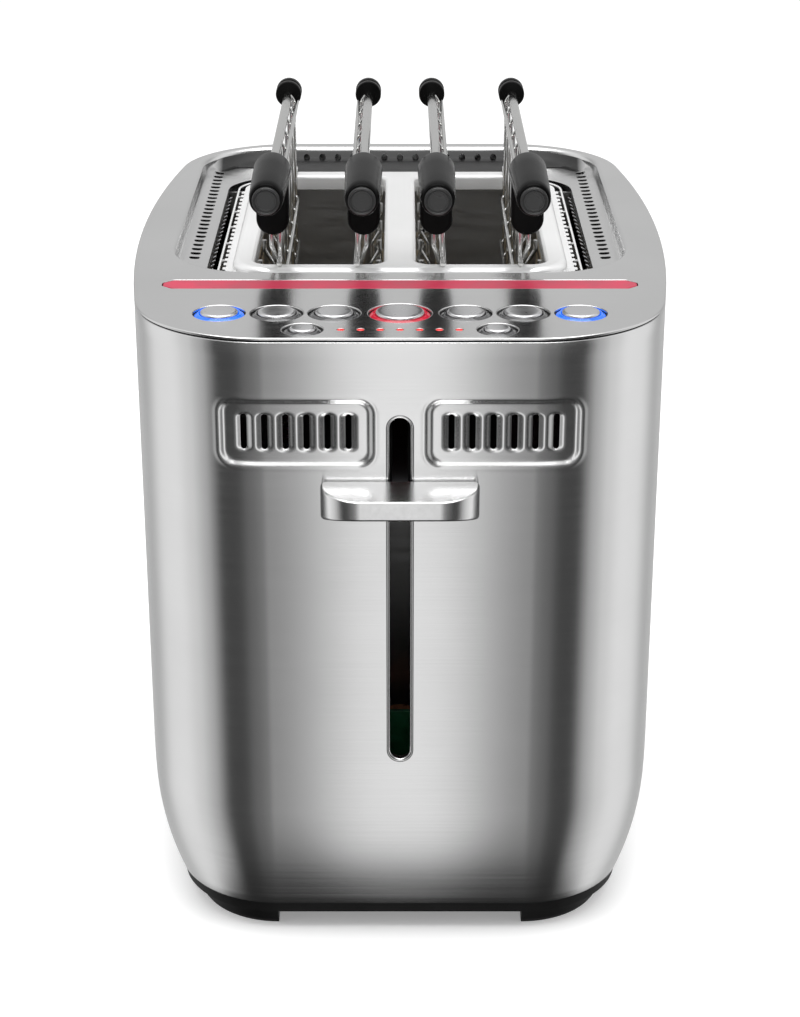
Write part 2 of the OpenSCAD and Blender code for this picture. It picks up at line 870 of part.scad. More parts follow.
module button_middle() { button_cap(button_places[0]); }
module button_left_1() { button_cap(button_places[1]); }
module button_left_2() { button_cap(button_places[2]); }
module button_left_3() { button_cap(button_places[3]); }
module button_right_1() { button_cap(button_places[4]); }
module button_right_2() { button_cap(button_places[5]); }
module button_right_3() { button_cap(button_places[6]); }
module button_small_left() { button_cap(button_places[7]); }
module button_small_right() { button_cap(button_places[8]); }

// Screw standing on its head, with a cross slot
module screw(l) {
    difference() {
        union() {
            translate([0, 0, -screw_head_h]) cylinder(d = screw_head_d, h = screw_head_h);
            translate([0, 0, -bond]) cylinder(d = screw_d, h = l + bond);
        }
        for (turn = [0, 90]) rotate([0, 0, turn])
            translate([-screw_head_d / 3, -screw_slot / 2, -screw_head_h - past])
                cube([screw_head_d / 1.5, screw_slot, past + screw_head_h / 2]);
    }
}

module control_board() {
    half = button_x + 2 * button_pitch + control_edge;
    y0 = small_y - control_edge / 2;
    y1 = row_y + post_back + post_d / 2;
    color("darkgreen") place() difference() {
        translate([0, (y0 + y1) / 2, control_z]) rounded_slab(2 * half, y1 - y0, control_t, control_r);
        both_sides() for (p = post_places)
            translate([p[0], p[1], control_z - past]) cylinder(d = screw_d + 2 * fit_seat, h = 2 * past);
    }
}

module tact_switches() {
    color("dimgray") place() for (b = button_places)
        translate([b[0], b[1], control_z + control_t]) {
            translate([-switch_w / 2, -switch_w / 2, 0]) cube([switch_w, switch_w, switch_h - dome_h]);
            cylinder(d = dome_d, h = switch_h);
        }
}

module board_screws() {
    color("gray") place() both_sides() for (p = post_places)
        translate([p[0], p[1], control_z]) screw(screw_l);
}

// Middle of each foot, which carries its screw
function foot_screw() = [
    corner_cx + (corner_r - foot_in - foot_w / 2) * sin(foot_a / 2),
    corner_r - (corner_r - foot_in - foot_w / 2) * cos(foot_a / 2)
];

module base_plate() {
    color("black") place() difference() {
        union() {
            translate([0, 0, base_z]) outline_sheet(base_in, base_t);
            along_outline() translate([-base_in - rim_t - rim_step, base_top - bond])
                square([rim_t, base_z + base_rim - base_top + bond]);
            // Bosses of the guide shafts
            for (s = [-1, 1])
                translate([s * shaft_pitch / 2, shaft_y, base_top - bond])
                    cylinder(d = boss_d, h = boss_h + bond);
        }
        translate([-tray_w / 2 - tray_side, tray_y0, base_top])
            cube([tray_w + 2 * tray_side, body_l, tray_h + past]);
        for (s = [-1, 1])
            translate([s * shaft_pitch / 2, shaft_y, base_top])
                cylinder(d = shaft_d + 2 * fit_run, h = boss_h + past);
        both_ends() both_sides() translate([foot_screw()[0], foot_screw()[1], base_z - past])
            cylinder(d = screw_d + 2 * fit_run, h = base_t + 2 * past);
    }
}

// Foot that follows the corner of the body, drawn in by edge
module foot_shape(edge, h) {
    translate([corner_cx, corner_r, 0]) rotate([0, 0, -90])
        rotate_extrude(angle = foot_a)
            translate([corner_r - foot_in - foot_w + edge, 0]) square([foot_w - 2 * edge, h]);
}

module feet() {
    color("black") place() both_ends() both_sides() difference() {
        translate([0, 0, pad_t]) foot_shape(0, base_z - pad_t);
        translate([foot_screw()[0], foot_screw()[1], 0]) {
            cylinder(d = screw_d + 2 * fit_seat, h = base_z + past);
            translate([0, 0, -past])
                cylinder(d = screw_head_d + 2 * fit_move, h = base_z - foot_floor + past);
        }
    }
}

module foot_pads() {
    color("dimgray") place() both_ends() both_sides() difference() {
        foot_shape(pad_edge, pad_t);
        translate([foot_screw()[0], foot_screw()[1], -past])
            cylinder(d = screw_head_d + 2 * pad_edge, h = pad_t + 2 * past);
    }
}

module foot_screws() {
    color("gray") place() both_ends() both_sides()
        translate([foot_screw()[0], foot_screw()[1], base_z - foot_floor]) screw(base_t + foot_floor);
}

module crumb_tray() {
    l = tray_y1 - tray_y0;
    color("lightgray") place() translate([0, tray_y0, tray_z]) difference() {
        translate([-tray_w / 2, 0, 0]) cube([tray_w, l, tray_h]);
        translate([-tray_w / 2 + tray_t, tray_t, tray_t])
            cube([tray_w - 2 * tray_t, l - 2 * tray_t, tray_h]);
    }
}

module tray_grip() {
    tab = body_l - tray_y1 - tray_side;
    color("black") place() translate([-tray_grip_w / 2, tray_y1, tray_z]) {
        cube([tray_grip_w, tab, tab_t]);
        translate([0, tab - tab_t, 0]) cube([tray_grip_w, tab_t, tray_h]);
        cube([tray_grip_w, tab_t, tray_h]);
    }
}

module cord_inlet() {
    neck = inlet_neck - 2 * fit_seat;
    color("black") place() translate([inlet_x, body_l - skin_t - inlet_t, inlet_z]) difference() {
        union() {
            rod_y(inlet_flange, inlet_t);
            rod_y(neck, 2 * inlet_t + skin_t);
            translate([0, inlet_t + skin_t, 0]) rod_y(inlet_flange, inlet_t);
        }
        translate([0, -past, 0]) rod_y(inlet_d, 2 * inlet_t + skin_t + 2 * past);
    }
}

// Slots of the guide rods in a chassis plate
module guide_slots() {
    span = guide_d + 2 * guide_travel + 4 * fit_move;
    for (s = [-1, 1], side = [-1, 1], z = [guide_top, guide_low])
        translate([
            s * slot_x + side * guide_x - span / 2,
            -past,
            z - (side > 0 ? guide_step : 0) - guide_d / 2 - fit_move
        ]) cube([span, 2 * past, guide_d + 2 * fit_move]);
}

// Chassis plate with its neck under the slot plate
module chassis_plate() {
    neck = plate_w / 2 - plate_r;
    translate([-chassis_x, 0, base_top]) cube([2 * chassis_x, chassis_t, chassis_top - base_top]);
    translate([-neck, 0, chassis_top - bond])
        cube([2 * neck, chassis_t, seam_h - plate_t - chassis_top + bond]);
}

module front_chassis() {
    reach = spring_x + spring_d / 2 + spring_gap;
    color("lightsteelblue") place() difference() {
        union() {
            translate([0, chassis_y0, 0]) chassis_plate();
            // Bracket at the top of the guide shafts and the lift spring
            translate([-reach, carriage_y0, bracket_z])
                cube([reach + carriage_x, chassis_y0 + bond - carriage_y0, bracket_t]);
        }
        translate([0, chassis_y0, 0]) guide_slots();
        for (s = [-1, 1]) {
            translate([s * shaft_pitch / 2, shaft_y, bracket_z - past])
                cylinder(d = shaft_d + 2 * fit_run, h = 2 * past);
            // Slots of the lifter bars
            translate([
                s * slot_x - lifter_w / 2 - lifter_side,
                chassis_y0 - past,
                lifter_z0 - lever_travel - lifter_gap
            ]) cube([
                lifter_w + 2 * lifter_side, 2 * past,
                lifter_h + lever_travel + lever_lift + 2 * lifter_gap
            ]);
        }
    }
}

module rear_chassis() {
    color("lightsteelblue") place() difference() {
        translate([0, chassis_y1, 0]) chassis_plate();
        translate([0, chassis_y1, 0]) guide_slots();
        translate([-tray_w / 2 - tray_side, chassis_y1 - past, base_top - past])
            cube([tray_w + 2 * tray_side, 2 * past, tray_h + 2 * tray_side + past]);
    }
}

module side_liners() {
    liner_z = tray_z + tray_h + tray_gap;
    color("lightsteelblue") place() for (s = [0, 1]) mirror([s, 0, 0])
        translate([chassis_x - 2 * chassis_t, chamber_y0, liner_z])
            cube([chassis_t, chamber_l, chassis_top - liner_z]);
}

module mica_boards() {
    color("tan") place() for (x = [-mica_x, 0, mica_x])
        translate([x - mica_t / 2, chamber_y0, mica_z0]) cube([mica_t, chamber_l, mica_h]);
}

module heater_ribbons() {
    pitch = mica_h / ribbon_count;
    color("sienna") place() for (x = [-mica_x, 0, mica_x], s = [-1, 1], i = [0:ribbon_count - 1])
        translate([
            x + s * (mica_t + ribbon_t) / 2 - ribbon_t / 2,
            slot_y0,
            mica_z0 + (i + 0.5) * pitch - ribbon_h / 2
        ]) cube([ribbon_t, slot_l, ribbon_h]);
}

// Upright guide wire whose top leans out by flare_a, towards -X
module flared_wire(h) {
    lean_d = wire_d - 2 * fit_run;
    cylinder(d = wire_d, h = h);
    translate([0, 0, h - wire_d]) rotate([0, -flare_a, 0]) cylinder(d = lean_d, h = flare_l + wire_d);
}

// One bread guide at the -X side of its slot
module guide_frame(low, top) {
    rod_y0 = link_y + link_t + fit_seat;
    rod_l = chassis_y1 + chassis_t + guide_past - rod_y0;
    pitch = (slot_l - 2 * guide_end) / (guide_wires - 1);
    wire_h = flange_z - flare_gap - flare_l - low;
    for (z = [low, top]) translate([0, rod_y0, z]) rod_y(guide_d, rod_l);
    for (i = [0:guide_wires - 1])
        translate([0, slot_y0 + guide_end + i * pitch, low]) flared_wire(wire_h);
}

// The two guides that move the same way, with the link in front of their upper rods
module guide_pair(low, top) {
    for (s = [-1, 1]) translate([s * slot_x - guide_x, 0, 0]) guide_frame(low, top);
    translate([-slot_x - guide_x - link_h / 2, link_y, top - link_h / 2])
        cube([slot_pitch + link_h, link_t, link_h]);
}

module guide_frames_a() {
    color("lightgray") place() guide_pair(guide_low, guide_top);
}

module guide_frames_b() {
    color("lightgray") place() mirror([1, 0, 0])
        guide_pair(guide_low - guide_step, guide_top - guide_step);
}

module guide_shafts() {
    color("silver") place() for (s = [-1, 1])
        translate([s * shaft_pitch / 2, shaft_y, base_top])
            cylinder(d = shaft_d, h = bracket_z + bracket_t - base_top);
}

module carriage() {
    gap_x = magnet_x + 3 * shelf_edge;
    lug_x = spring_x + spring_d / 2 + shelf_edge;
    color("dimgray") place() difference() {
        union() {
            // Plate with two wings that carry the lifters
            translate([-carriage_x, carriage_y0, carriage_z0])
                cube([2 * carriage_x, carriage_t, bush_l]);
            both_sides() translate([gap_x, carriage_y0, wing_z0])
                cube([carriage_x - gap_x, carriage_t, carriage_z0 - wing_z0 + bond]);
            for (s = [-1, 1])
                translate([s * shaft_pitch / 2, shaft_y, carriage_z0]) cylinder(d = bush_d, h = bush_l);
            // Shelf over the magnet
            translate([-magnet_x - shelf_edge, carriage_y0, carriage_z0])
                cube([2 * (magnet_x + shelf_edge), shelf_y1 - carriage_y0, shelf_t]);
            // Lug of the lift spring
            translate([-lug_x, carriage_y0, wing_z0])
                cube([lug_x - carriage_x + bond, shaft_y + spring_d / 2 - carriage_y0, lug_t]);
            // Arm through the front
            translate([-arm_w / 2, -knob_gap, lever_z - arm_h / 2])
                cube([arm_w, carriage_y0 + bond + knob_gap, arm_h]);
        }
        for (s = [-1, 1])
            translate([s * shaft_pitch / 2, shaft_y, carriage_z0 - past])
                cylinder(d = shaft_d + 2 * fit_run, h = bush_l + 2 * past);
    }
}

module lifters() {
    bar_end = chassis_y1 - lifter_foot;
    pitch = (slot_l - 2 * finger_end) / (finger_count - 1);
    color("silver") place() for (s = [-1, 1]) translate([s * slot_x, 0, lifter_z0]) {
        translate([-lifter_w / 2, carriage_y1, 0]) cube([lifter_w, bar_end - carriage_y1, lifter_h]);
        translate([-lifter_foot, carriage_y1, 0])
            cube([2 * lifter_foot, lifter_foot_t, carriage_z0 - lifter_z0]);
        for (i = [0:finger_count - 1])
            translate([
                -finger_reach,
                slot_y0 + finger_end + i * pitch,
                lifter_h - finger_d / 2 - finger_sink
            ]) rod_x(finger_d, 2 * finger_reach);
    }
}

// Wedge with round front corners, deeper at the body than at its front edge
module lever_knob() {
    back = -knob_gap;
    front = -knob_reach;
    round_y = front + knob_r;
    half = knob_w / 2 - knob_r;
    high = knob_rise - knob_fall;
    low = high - knob_h;
    color("gainsboro") place() translate([0, 0, lever_z]) intersection() {
        translate([0, 0, low - knob_drop - past]) {
            tall = knob_rise - low + knob_drop + 2 * past;
            translate([-half, front, 0]) cube([2 * half, back - front, tall]);
            translate([-knob_w / 2, round_y, 0]) cube([knob_w, back - round_y, tall]);
            both_sides() translate([half, round_y, 0]) cylinder(r = knob_r, h = tall);
        }
        translate([-knob_w / 2 - past, 0, 0]) rotate([90, 0, 90]) linear_extrude(knob_w + 2 * past)
            polygon([
                [back, low - knob_drop], [back, knob_rise], [front + knob_edge, high],
                [front, high - knob_edge], [front, low + knob_edge], [front + knob_edge, low]
            ]);
    }
}

module armature() {
    y0 = shaft_y - shelf_reach + shelf_edge;
    color("gray") place() translate([-magnet_x, y0, carriage_z0 - armature_t])
        cube([2 * magnet_x, shelf_y1 - y0, armature_t]);
}

// Extension spring between the bracket and the lug of the carriage
module lift_spring() {
    z0 = wing_z0 + lug_t;
    color("silver") place() translate([-spring_x, shaft_y, z0 + fit_move]) difference() {
        cylinder(d = spring_d, h = bracket_z - z0 - 2 * fit_move);
        translate([0, 0, -past]) cylinder(d = spring_d - 2 * spring_wire, h = bracket_z - z0 + past);
    }
}

module latch_magnet() {
    h = magnet_z1 - base_top;
    color("saddlebrown") place() translate([0, shaft_y, base_top]) {
        translate([-core_w / 2, -core_w / 2, 0]) cube([core_w, core_w, h]);
        translate([0, 0, yoke_h]) cylinder(d = 2 * magnet_x, h = h - yoke_h - core_bare);
        translate([-magnet_x, -core_w / 2, 0]) cube([2 * magnet_x, core_w, yoke_h + bond]);
    }
}

module main_board() {
    color("seagreen") place() translate([-board_x, board_y, base_top])
        cube([2 * board_x, board_t, board_z1 - base_top]);
}

// Relay, coil, capacitors and chip on the rear face of the main board
module board_parts() {
    upper = part_edge + coil_h;
    color("dimgray") place() translate([0, board_y + board_t, base_top]) {
        translate([-board_x + part_edge, 0, part_edge]) cube([relay_w, relay_l, relay_h]);
        translate([board_x - part_edge - coil_w, 0, part_edge]) cube([coil_w, coil_l, coil_h]);
        for (i = [-1:1]) translate([i * can_pitch, 0, upper]) rod_y(can_d, coil_l);
        translate([-board_x + part_edge, 0, upper]) cube([chip_w, chip_l, chip_h]);
    }
}

// Half of a sandwich cage on the +X side of its slot; loops lists the uprights that carry hinge loops
module cage_half(loops) {
    rear_l = cap_y0 + cap_bore - grip_y1 + grip_bore;
    difference() {
        union() {
            translate([cage_w / 2, grip_y1 - grip_bore, rod_z]) rod_y(rod_d, rear_l);
            for (i = [0:cage_uprights - 1]) {
                top = i == 0 ? seam_h + stem_z + wire_socket : rod_z;
                translate([upright_x, cage_y0 + i * upright_pitch, pin_z])
                    cylinder(d = wire_d, h = top - pin_z);
            }
            for (drop = rail_drops) {
                y0 = drop < rod_h ? grip_y1 + rail_end : cage_y0 - rail_end;
                translate([rail_x, y0, rod_z - drop]) rod_y(wire_d, cage_y1 + rail_end - y0);
            }
            // Hooks over the ends of the slot
            translate([upright_x, plate_y + hook_end, hook_z])
                rod_y(hook_d, cage_y0 - plate_y - hook_end);
            translate([upright_x, cage_y1, hook_z])
                rod_y(hook_d, plate_y + plate_l - hook_end - cage_y1);
            // Floor wires and hinge loops
            for (i = loops) translate([0, cage_y0 + i * upright_pitch, pin_z]) {
                translate([pin_d / 2 + bond, 0, 0])
                    rod_x(hook_d, upright_x + wire_d / 2 - pin_d / 2 - bond);
                translate([0, -loop_l / 2, 0]) rod_y(loop_d, loop_l);
            }
        }
        translate([0, cage_y0, pin_z]) rod_y(pin_d + 2 * fit_run, slot_l);
    }
}

// Grip with its stem, on the +X side of the cage
module grip() {
    ring_out = grip_tip_d / 2 - 2 * groove;
    ring_in = ring_out - groove;
    stem_y0 = grip_y1 - stem_l;
    color("black") place() translate([cage_w / 2, 0, 0]) difference() {
        union() {
            translate([0, grip_y1, rod_z]) rotate([90, 0, 0])
                cylinder(d1 = grip_d, d2 = grip_tip_d, h = grip_l);
            translate([-stem_w / 2, stem_y0, seam_h + stem_z + stem_w / 2])
                cube([stem_w, stem_l, rod_h - stem_z - stem_w / 2]);
            translate([0, stem_y0, seam_h + stem_z + stem_w / 2]) along_y(stem_l)
                rotate([0, 0, 180]) rotate_extrude(angle = 180) square([stem_w / 2, stem_l]);
        }
        // Ringed end face
        translate([0, grip_y0 - past, rod_z]) difference() {
            rod_y(2 * ring_out, past + groove);
            rod_y(2 * ring_in, 2 * past);
        }
        // Seats of the rod and of the front upright
        translate([0, grip_y1 - grip_bore, rod_z]) rod_y(rod_d + 2 * fit_run, grip_bore + past);
        translate([upright_x - cage_w / 2, cage_y0, seam_h])
            cylinder(d = wire_d + 2 * fit_run, h = stem_z + wire_socket);
    }
}

// End cap with a turned groove
module end_cap() {
    color("black") place() translate([cage_w / 2, cap_y0, rod_z]) difference() {
        union() {
            rod_y(cap_d, cap_step);
            rod_y(cap_d - 2 * groove, cap_l);
            translate([0, cap_step + groove, 0]) rod_y(cap_d, cap_l - cap_step - groove);
        }
        translate([0, -past, 0]) rod_y(rod_d + 2 * fit_run, cap_bore + past);
    }
}

// Headed hinge pin
module hinge_pin() {
    head_d = pin_d + 2 * pin_lip;
    pin_y0 = cage_y0 + upright_pitch - loop_l / 2 - fit_move;
    pin_l = (cage_uprights - 3) * upright_pitch + loop_l + 2 * fit_move;
    color("silver") place() translate([0, pin_y0, pin_z]) {
        rod_y(pin_d, pin_l);
        for (y = [-pin_head, pin_l]) translate([0, y, 0]) rod_y(head_d, pin_head);
    }
}

// Moves a cage piece to its slot: side -1 is the left slot, and half -1 the left half
module in_slot(side, half) {
    translate([side * slot_x, 0, 0]) mirror([half < 0 ? 1 : 0, 0, 0]) children();
}

module left_cage_frame() { color("silver") place() in_slot(-1, -1) cage_half(frame_loops); }
module left_cage_jaw() { color("silver") place() in_slot(-1, 1) cage_half(jaw_loops); }
module left_frame_grip() { in_slot(-1, -1) grip(); }
module left_jaw_grip() { in_slot(-1, 1) grip(); }
module left_frame_cap() { in_slot(-1, -1) end_cap(); }
module left_jaw_cap() { in_slot(-1, 1) end_cap(); }
module left_hinge_pin() { in_slot(-1, 1) hinge_pin(); }
module right_cage_frame() { color("silver") place() in_slot(1, -1) cage_half(frame_loops); }
module right_cage_jaw() { color("silver") place() in_slot(1, 1) cage_half(jaw_loops); }
module right_frame_grip() { in_slot(1, -1) grip(); }
module right_jaw_grip() { in_slot(1, 1) grip(); }
module right_frame_cap() { in_slot(1, -1) end_cap(); }
module right_jaw_cap() { in_slot(1, 1) end_cap(); }
module right_hinge_pin() { in_slot(1, 1) hinge_pin(); }

body_shell();
top_cover();
slot_plate();
light_bar();
indicator_lamps();
blue_light_rings();
red_light_ring();
plain_rings();
small_rings();
button_middle();
button_left_1();
button_left_2();
button_left_3();
button_right_1();
button_right_2();
button_right_3();
button_small_left();
button_small_right();
control_board();
tact_switches();
board_screws();
base_plate();
feet();
foot_pads();
foot_screws();
crumb_tray();
tray_grip();
cord_inlet();
front_chassis();
rear_chassis();
side_liners();
mica_boards();
heater_ribbons();
guide_frames_a();
guide_frames_b();
guide_shafts();
carriage();
lifters();
lever_knob();
armature();
lift_spring();
latch_magnet();
main_board();
board_parts();
left_cage_frame();
left_cage_jaw();
left_frame_grip();
left_jaw_grip();
left_frame_cap();
left_jaw_cap();
left_hinge_pin();
right_cage_frame();
right_cage_jaw();
right_frame_grip();
right_jaw_grip();
right_frame_cap();
right_jaw_cap();
right_hinge_pin();
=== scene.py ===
"""Looks of the two-slot sandwich toaster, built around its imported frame. Lengths in the helpers are
millimetres from the front face and the floor; meshes are made in metres in the frame of the object."""
from math import acos, atan2, cos, degrees, pi, radians, sin, sqrt, tan

import bmesh
import bpy
import numpy as np
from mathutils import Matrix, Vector
from mathutils.geometry import delaunay_2d_cdt


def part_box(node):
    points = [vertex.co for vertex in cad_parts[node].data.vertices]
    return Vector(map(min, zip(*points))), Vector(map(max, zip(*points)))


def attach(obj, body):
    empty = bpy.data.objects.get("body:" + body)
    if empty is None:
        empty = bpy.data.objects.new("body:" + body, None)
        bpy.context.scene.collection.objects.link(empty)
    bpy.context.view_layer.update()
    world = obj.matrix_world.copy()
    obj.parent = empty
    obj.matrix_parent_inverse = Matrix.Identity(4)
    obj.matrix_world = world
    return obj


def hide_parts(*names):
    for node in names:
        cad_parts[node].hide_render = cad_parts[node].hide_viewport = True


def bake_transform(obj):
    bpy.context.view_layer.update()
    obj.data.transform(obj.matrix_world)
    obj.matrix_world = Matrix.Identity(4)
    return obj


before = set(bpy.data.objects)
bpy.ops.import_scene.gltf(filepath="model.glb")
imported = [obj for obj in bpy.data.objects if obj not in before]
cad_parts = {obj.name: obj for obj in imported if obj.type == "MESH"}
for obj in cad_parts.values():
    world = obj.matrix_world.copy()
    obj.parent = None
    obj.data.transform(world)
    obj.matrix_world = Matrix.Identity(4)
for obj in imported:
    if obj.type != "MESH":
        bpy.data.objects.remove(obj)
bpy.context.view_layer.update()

MM = 0.001
WELD = 1e-7
# Pieces look smooth up to this edge angle, in degrees, unless another is given
SHARP = 40.0
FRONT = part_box("body_shell")[0].y / MM

# Body
BODY_W, BODY_L, SEAM = 186.0, 257.5, 221.0
CORNER_R, SIDE_R, SKIN_T = 44.0, 621.0, 0.9
SKIN_Z, CURVE_H, CURVE_IN = 12.0, 42.0, 8.0
MID_Y = BODY_L / 2
SIDE_CX = BODY_W / 2 - SIDE_R
CORNER_CX = SIDE_CX + sqrt((SIDE_R - CORNER_R) ** 2 - (MID_Y - CORNER_R) ** 2)
SIDE_A = degrees(atan2(MID_Y - CORNER_R, CORNER_CX - SIDE_CX))
CURVE_R = (CURVE_H ** 2 + CURVE_IN ** 2) / (2 * CURVE_IN)
CURVE_Z = SKIN_Z + CURVE_H
# Front vents and lever track
VENT_X, VENT_W, VENT_H, VENT_R, VENT_SINK = 32.9, 49.2, 22.6, 5.0, 1.2
VENT_Z = SEAM - 19.5 - VENT_H / 2
SLIT_W, SLIT_H, SLIT_PITCH, SLITS, SLIT_DRAW = 2.0, 11.8, 6.65, 6, 0.85
PAD_BEAD, PAD_BEAD_AT, PAD_BEAD_W = 0.1, 0.7, 0.6
TRACK_W, TRACK_Z0, TRACK_Z1 = 8.1, 73.0, 196.0
TRACK_CZ, TRACK_H = (TRACK_Z0 + TRACK_Z1) / 2, TRACK_Z1 - TRACK_Z0
# Rear: mouth of the crumb tray and cord inlet
MOUTH_Z, MOUTH_W, MOUTH_H, MOUTH_R = 13.4, 118.0, 14.8, 1.2
INLET_X, INLET_Z, INLET_D = 30.0, 70.0, 11.0
INLET_BUSH = [(3.5, -2.9), (3.5, 1.4), (3.9, 1.9), (4.8, 2), (7.0, 1.9), (7.8, 1.3), (8.0, 0.5), (8.0, 0),
              (5.3, 0), (5.3, -0.9), (8.0, -0.9), (8.0, -2.9)]
# Top cover
COVER_T = 0.8
COVER_Z = SEAM + COVER_T
RECESS_W, RECESS_Y, RECESS_L, RECESS_R, RECESS_Z = 157.0, 72.5, 178.5, 30.0, 216.0
RECESS_CY, RECESS_BACK = RECESS_Y + RECESS_L / 2, RECESS_Y + RECESS_L
OPEN_W, OPEN_Y0, OPEN_Y1, OPEN_R = 135.2, 74.3, 224.4, 20.0
ROLL_R, COVE_FRONT, COVE_SIDE, PRESSED_T = 2.0, 0.8, 5.6, 0.35
BAND_SLITS, BAND_PITCH, BAND_X, BAND_Y0 = 23, 5.5, 73.05, 108.5
BAND_SLIT_W, BAND_SLIT_L, BAND_SLIT_R = 3.7, 2.9, 1.1
BACK_HOLES, BACK_PITCH, BACK_Z, BACK_D = 15, 6.4, 218.0, 2.6
# Painted shade on the recess's back wall and rear floor: a black sheet in place of the shade and dark
# reflection there, fading into steel around the corners
BACK_SHADE_X, BACK_SHADE_FADE, BACK_SHADE_Y, BACK_SHADE_LIFT = 78.4, 9.0, 225.5, 0.08
BACK_SHADE_BACK, BACK_SHADE_TURN, BACK_SHADE_END = 13.5, 40.0, 62.0
# Ribbed walls below the recess floor, in steps of the slits' pitch
WALL_CY, WALL_Z, WALL_L, WALL_H, WALL_T = 150.0, 209.0, 132.0, 12.4, 0.6
WALL_SLIT_Z, WALL_SLIT_W, WALL_SLIT_H, WALL_FIRST, WALL_LAST = 210.6, 2.4, 4.4, -2, 18
RIB_R, RIB_Z, RIB_RISE, RIB_IN, RIB_OUT, RIB_LEAN = 0.28, 211.9, 0.6, 0.3, 1.2, 0.5
# Slot plate
PLATE_W, PLATE_Y, PLATE_L, PLATE_R, PLATE_LOW = 116.4, 78.0, 137.0, 14.0, 215.2
PLATE_CY = PLATE_Y + PLATE_L / 2
PLATE_ROLL, PLATE_SKIRT = 2.4, [
    (-0.7, PLATE_LOW), (-0.7, 215.9), (-0.5, 216.2), (-0.1, 216.35), (1.3, 216.4), (1.4, 216.8),
    (1.3, 217.2), (0.06, 217.25), (0, 217.45)]
# Its flange: a strip with teeth at the slits' pitch, and a bead on ties
FLANGE_Z, FLANGE_OUT, FLANGE_FRONT, STRIP_IN, STRIP_END = 214.5, 5.9, 2.5, 2.9, 1.8
TOOTH_FIRST, TOOTH_LAST, TOOTH_IN, TOOTH_W, TOOTH_L = -5, 18, 2.75, 1.9, 2.7
TIE_STEP, TIE_IN, TIE_W, TIE_L, BEAD_R = 4, 1.6, 2.6, 1.0, 0.45
SLOT_X, SLOT_W, SLOT_Y0, SLOT_L, SLOT_R = 28.0, 44.6, 84.5, 122.5, 5.0
SLOT_CY = SLOT_Y0 + SLOT_L / 2
# Controls: name, offset, distance from the front face and cover hole
BUTTONS = [
    ("middle", 0.0, 25.8, 20.5),
    ("left_1", -21.1, 25.8, 17.0), ("left_2", -39.55, 25.8, 17.0), ("left_3", -58.0, 25.8, 17.0),
    ("right_1", 21.1, 25.8, 17.0), ("right_2", 39.55, 25.8, 17.0), ("right_3", 58.0, 25.8, 17.0),
    ("small_left", -30.6, 8.8, 13.0), ("small_right", 30.6, 8.8, 13.0),
]
RING_W, CAP_GAP, CAP_Z = 2.1, 0.3, COVER_Z + 1.0
# GAP_SHADE_LOW is the foot of the black sheets of painted shade below the panel's gaps
SKIRT_Z, STUD_Z, RING_LOW, GAP_SHADE_LOW, LAMP_LOW = 216.5, 214.5, 218.0, 219.4, 214.0
LAMP_Y, LAMP_D, LAMP_PITCH, LAMPS = 8.8, 2.2, 6.2, 7
BAR_L, BAR_Y, BAR_W, BAR_TAPER = 158.0, 52.9, 9.2, 3.5
# Lever
KNOB_W, KNOB_R, KNOB_Y0, KNOB_Y1, KNOB_Z, KNOB_H = 50.6, 13.0, -16.0, -1.0, 171.0, 6.4
KNOB_RISE, KNOB_FALL, KNOB_DROP, KNOB_BACK_R = 3.6, 1.4, 5.0, 2.0
# Cages
ROD_X, ROD_Z, ROD_D = 15.6, 252.5, 3.5
WIRE_D, HOOK_D, UPRIGHT_X, RAIL_X = 1.6, 2.0, 13.35, 12.05
CAGE_Y0, CAGE_Y1, UPRIGHTS, PIN_Z = 88.0, 203.5, 7, 161.0
GRIP_Y0, GRIP_Y1, GRIP_TIP_R, GRIP_R, GRIP_ROLL = 48.0, 92.0, 5.0, 6.4, 3.2
STEM_Y0, STEM_W, STEM_Z = 84.0, 11.2, 231.0
CAP_Y0, CAP_Y1, CAP_R = 209.5, 219.5, 5.0
HOOK_Z, HOOK_DROP, HOOK_Y0, HOOK_Y1 = 222.3, 9.0, 79.5, 213.5
RAILS_Z, WIRE_MID_Y = (213.0, 195.0, 177.0), 150.0
STAY = [(16.3, 0, STEM_Z + 4), (16.3, 0, 226.5), (14.3, 1.6, 219.5), (14.3, 1.6, 196.0)]
KNUCKLE = [(2.4, -3.0), (2.5, -2.8), (2.5, 2.8), (2.4, 3.0), (1.05, 3.0), (1.05, -3.0)]
PLUG = [(0, 0.5), (2.9, 0.45), (3.0, 0.3), (3.4, 0.3), (3.5, 0.55), (3.75, 0.55), (3.9, 0.12), (4.1, 0),
        (4.3, 0), (4.5, 0.15), (4.55, 0.5), (4.55, 2.2), (0, 2.2)]
# Bread guides: rods, and wires as (offset across the slot, height) points
GUIDE_X, GUIDE_Y0, GUIDE_Y1, GUIDE_LOW, GUIDE_TOP, GUIDE_DROP = 21.0, 78.15, 215.2, 60.0, 198.0, 6.0
GUIDE_BENDS = ((GUIDE_X, 200.0), (17.7, 206.0), (17.7, 210.5), (20.7, 215.5), (20.7, 219.3))
GUIDE_WIRES, GUIDE_MARGIN, GUIDE_ROD_R, GUIDE_WIRE_R = 5, 10.0, 1.0, 0.8
LINK_L, LINK_H, LINK_Y0, LINK_Y1 = 59.0, 3.0, 76.0, 78.0
# Lift spring
SPRING_TURNS, SPRING_STEPS, SPRING_WIRE_R, SPRING_END = 22, 16, 0.5, 0.6
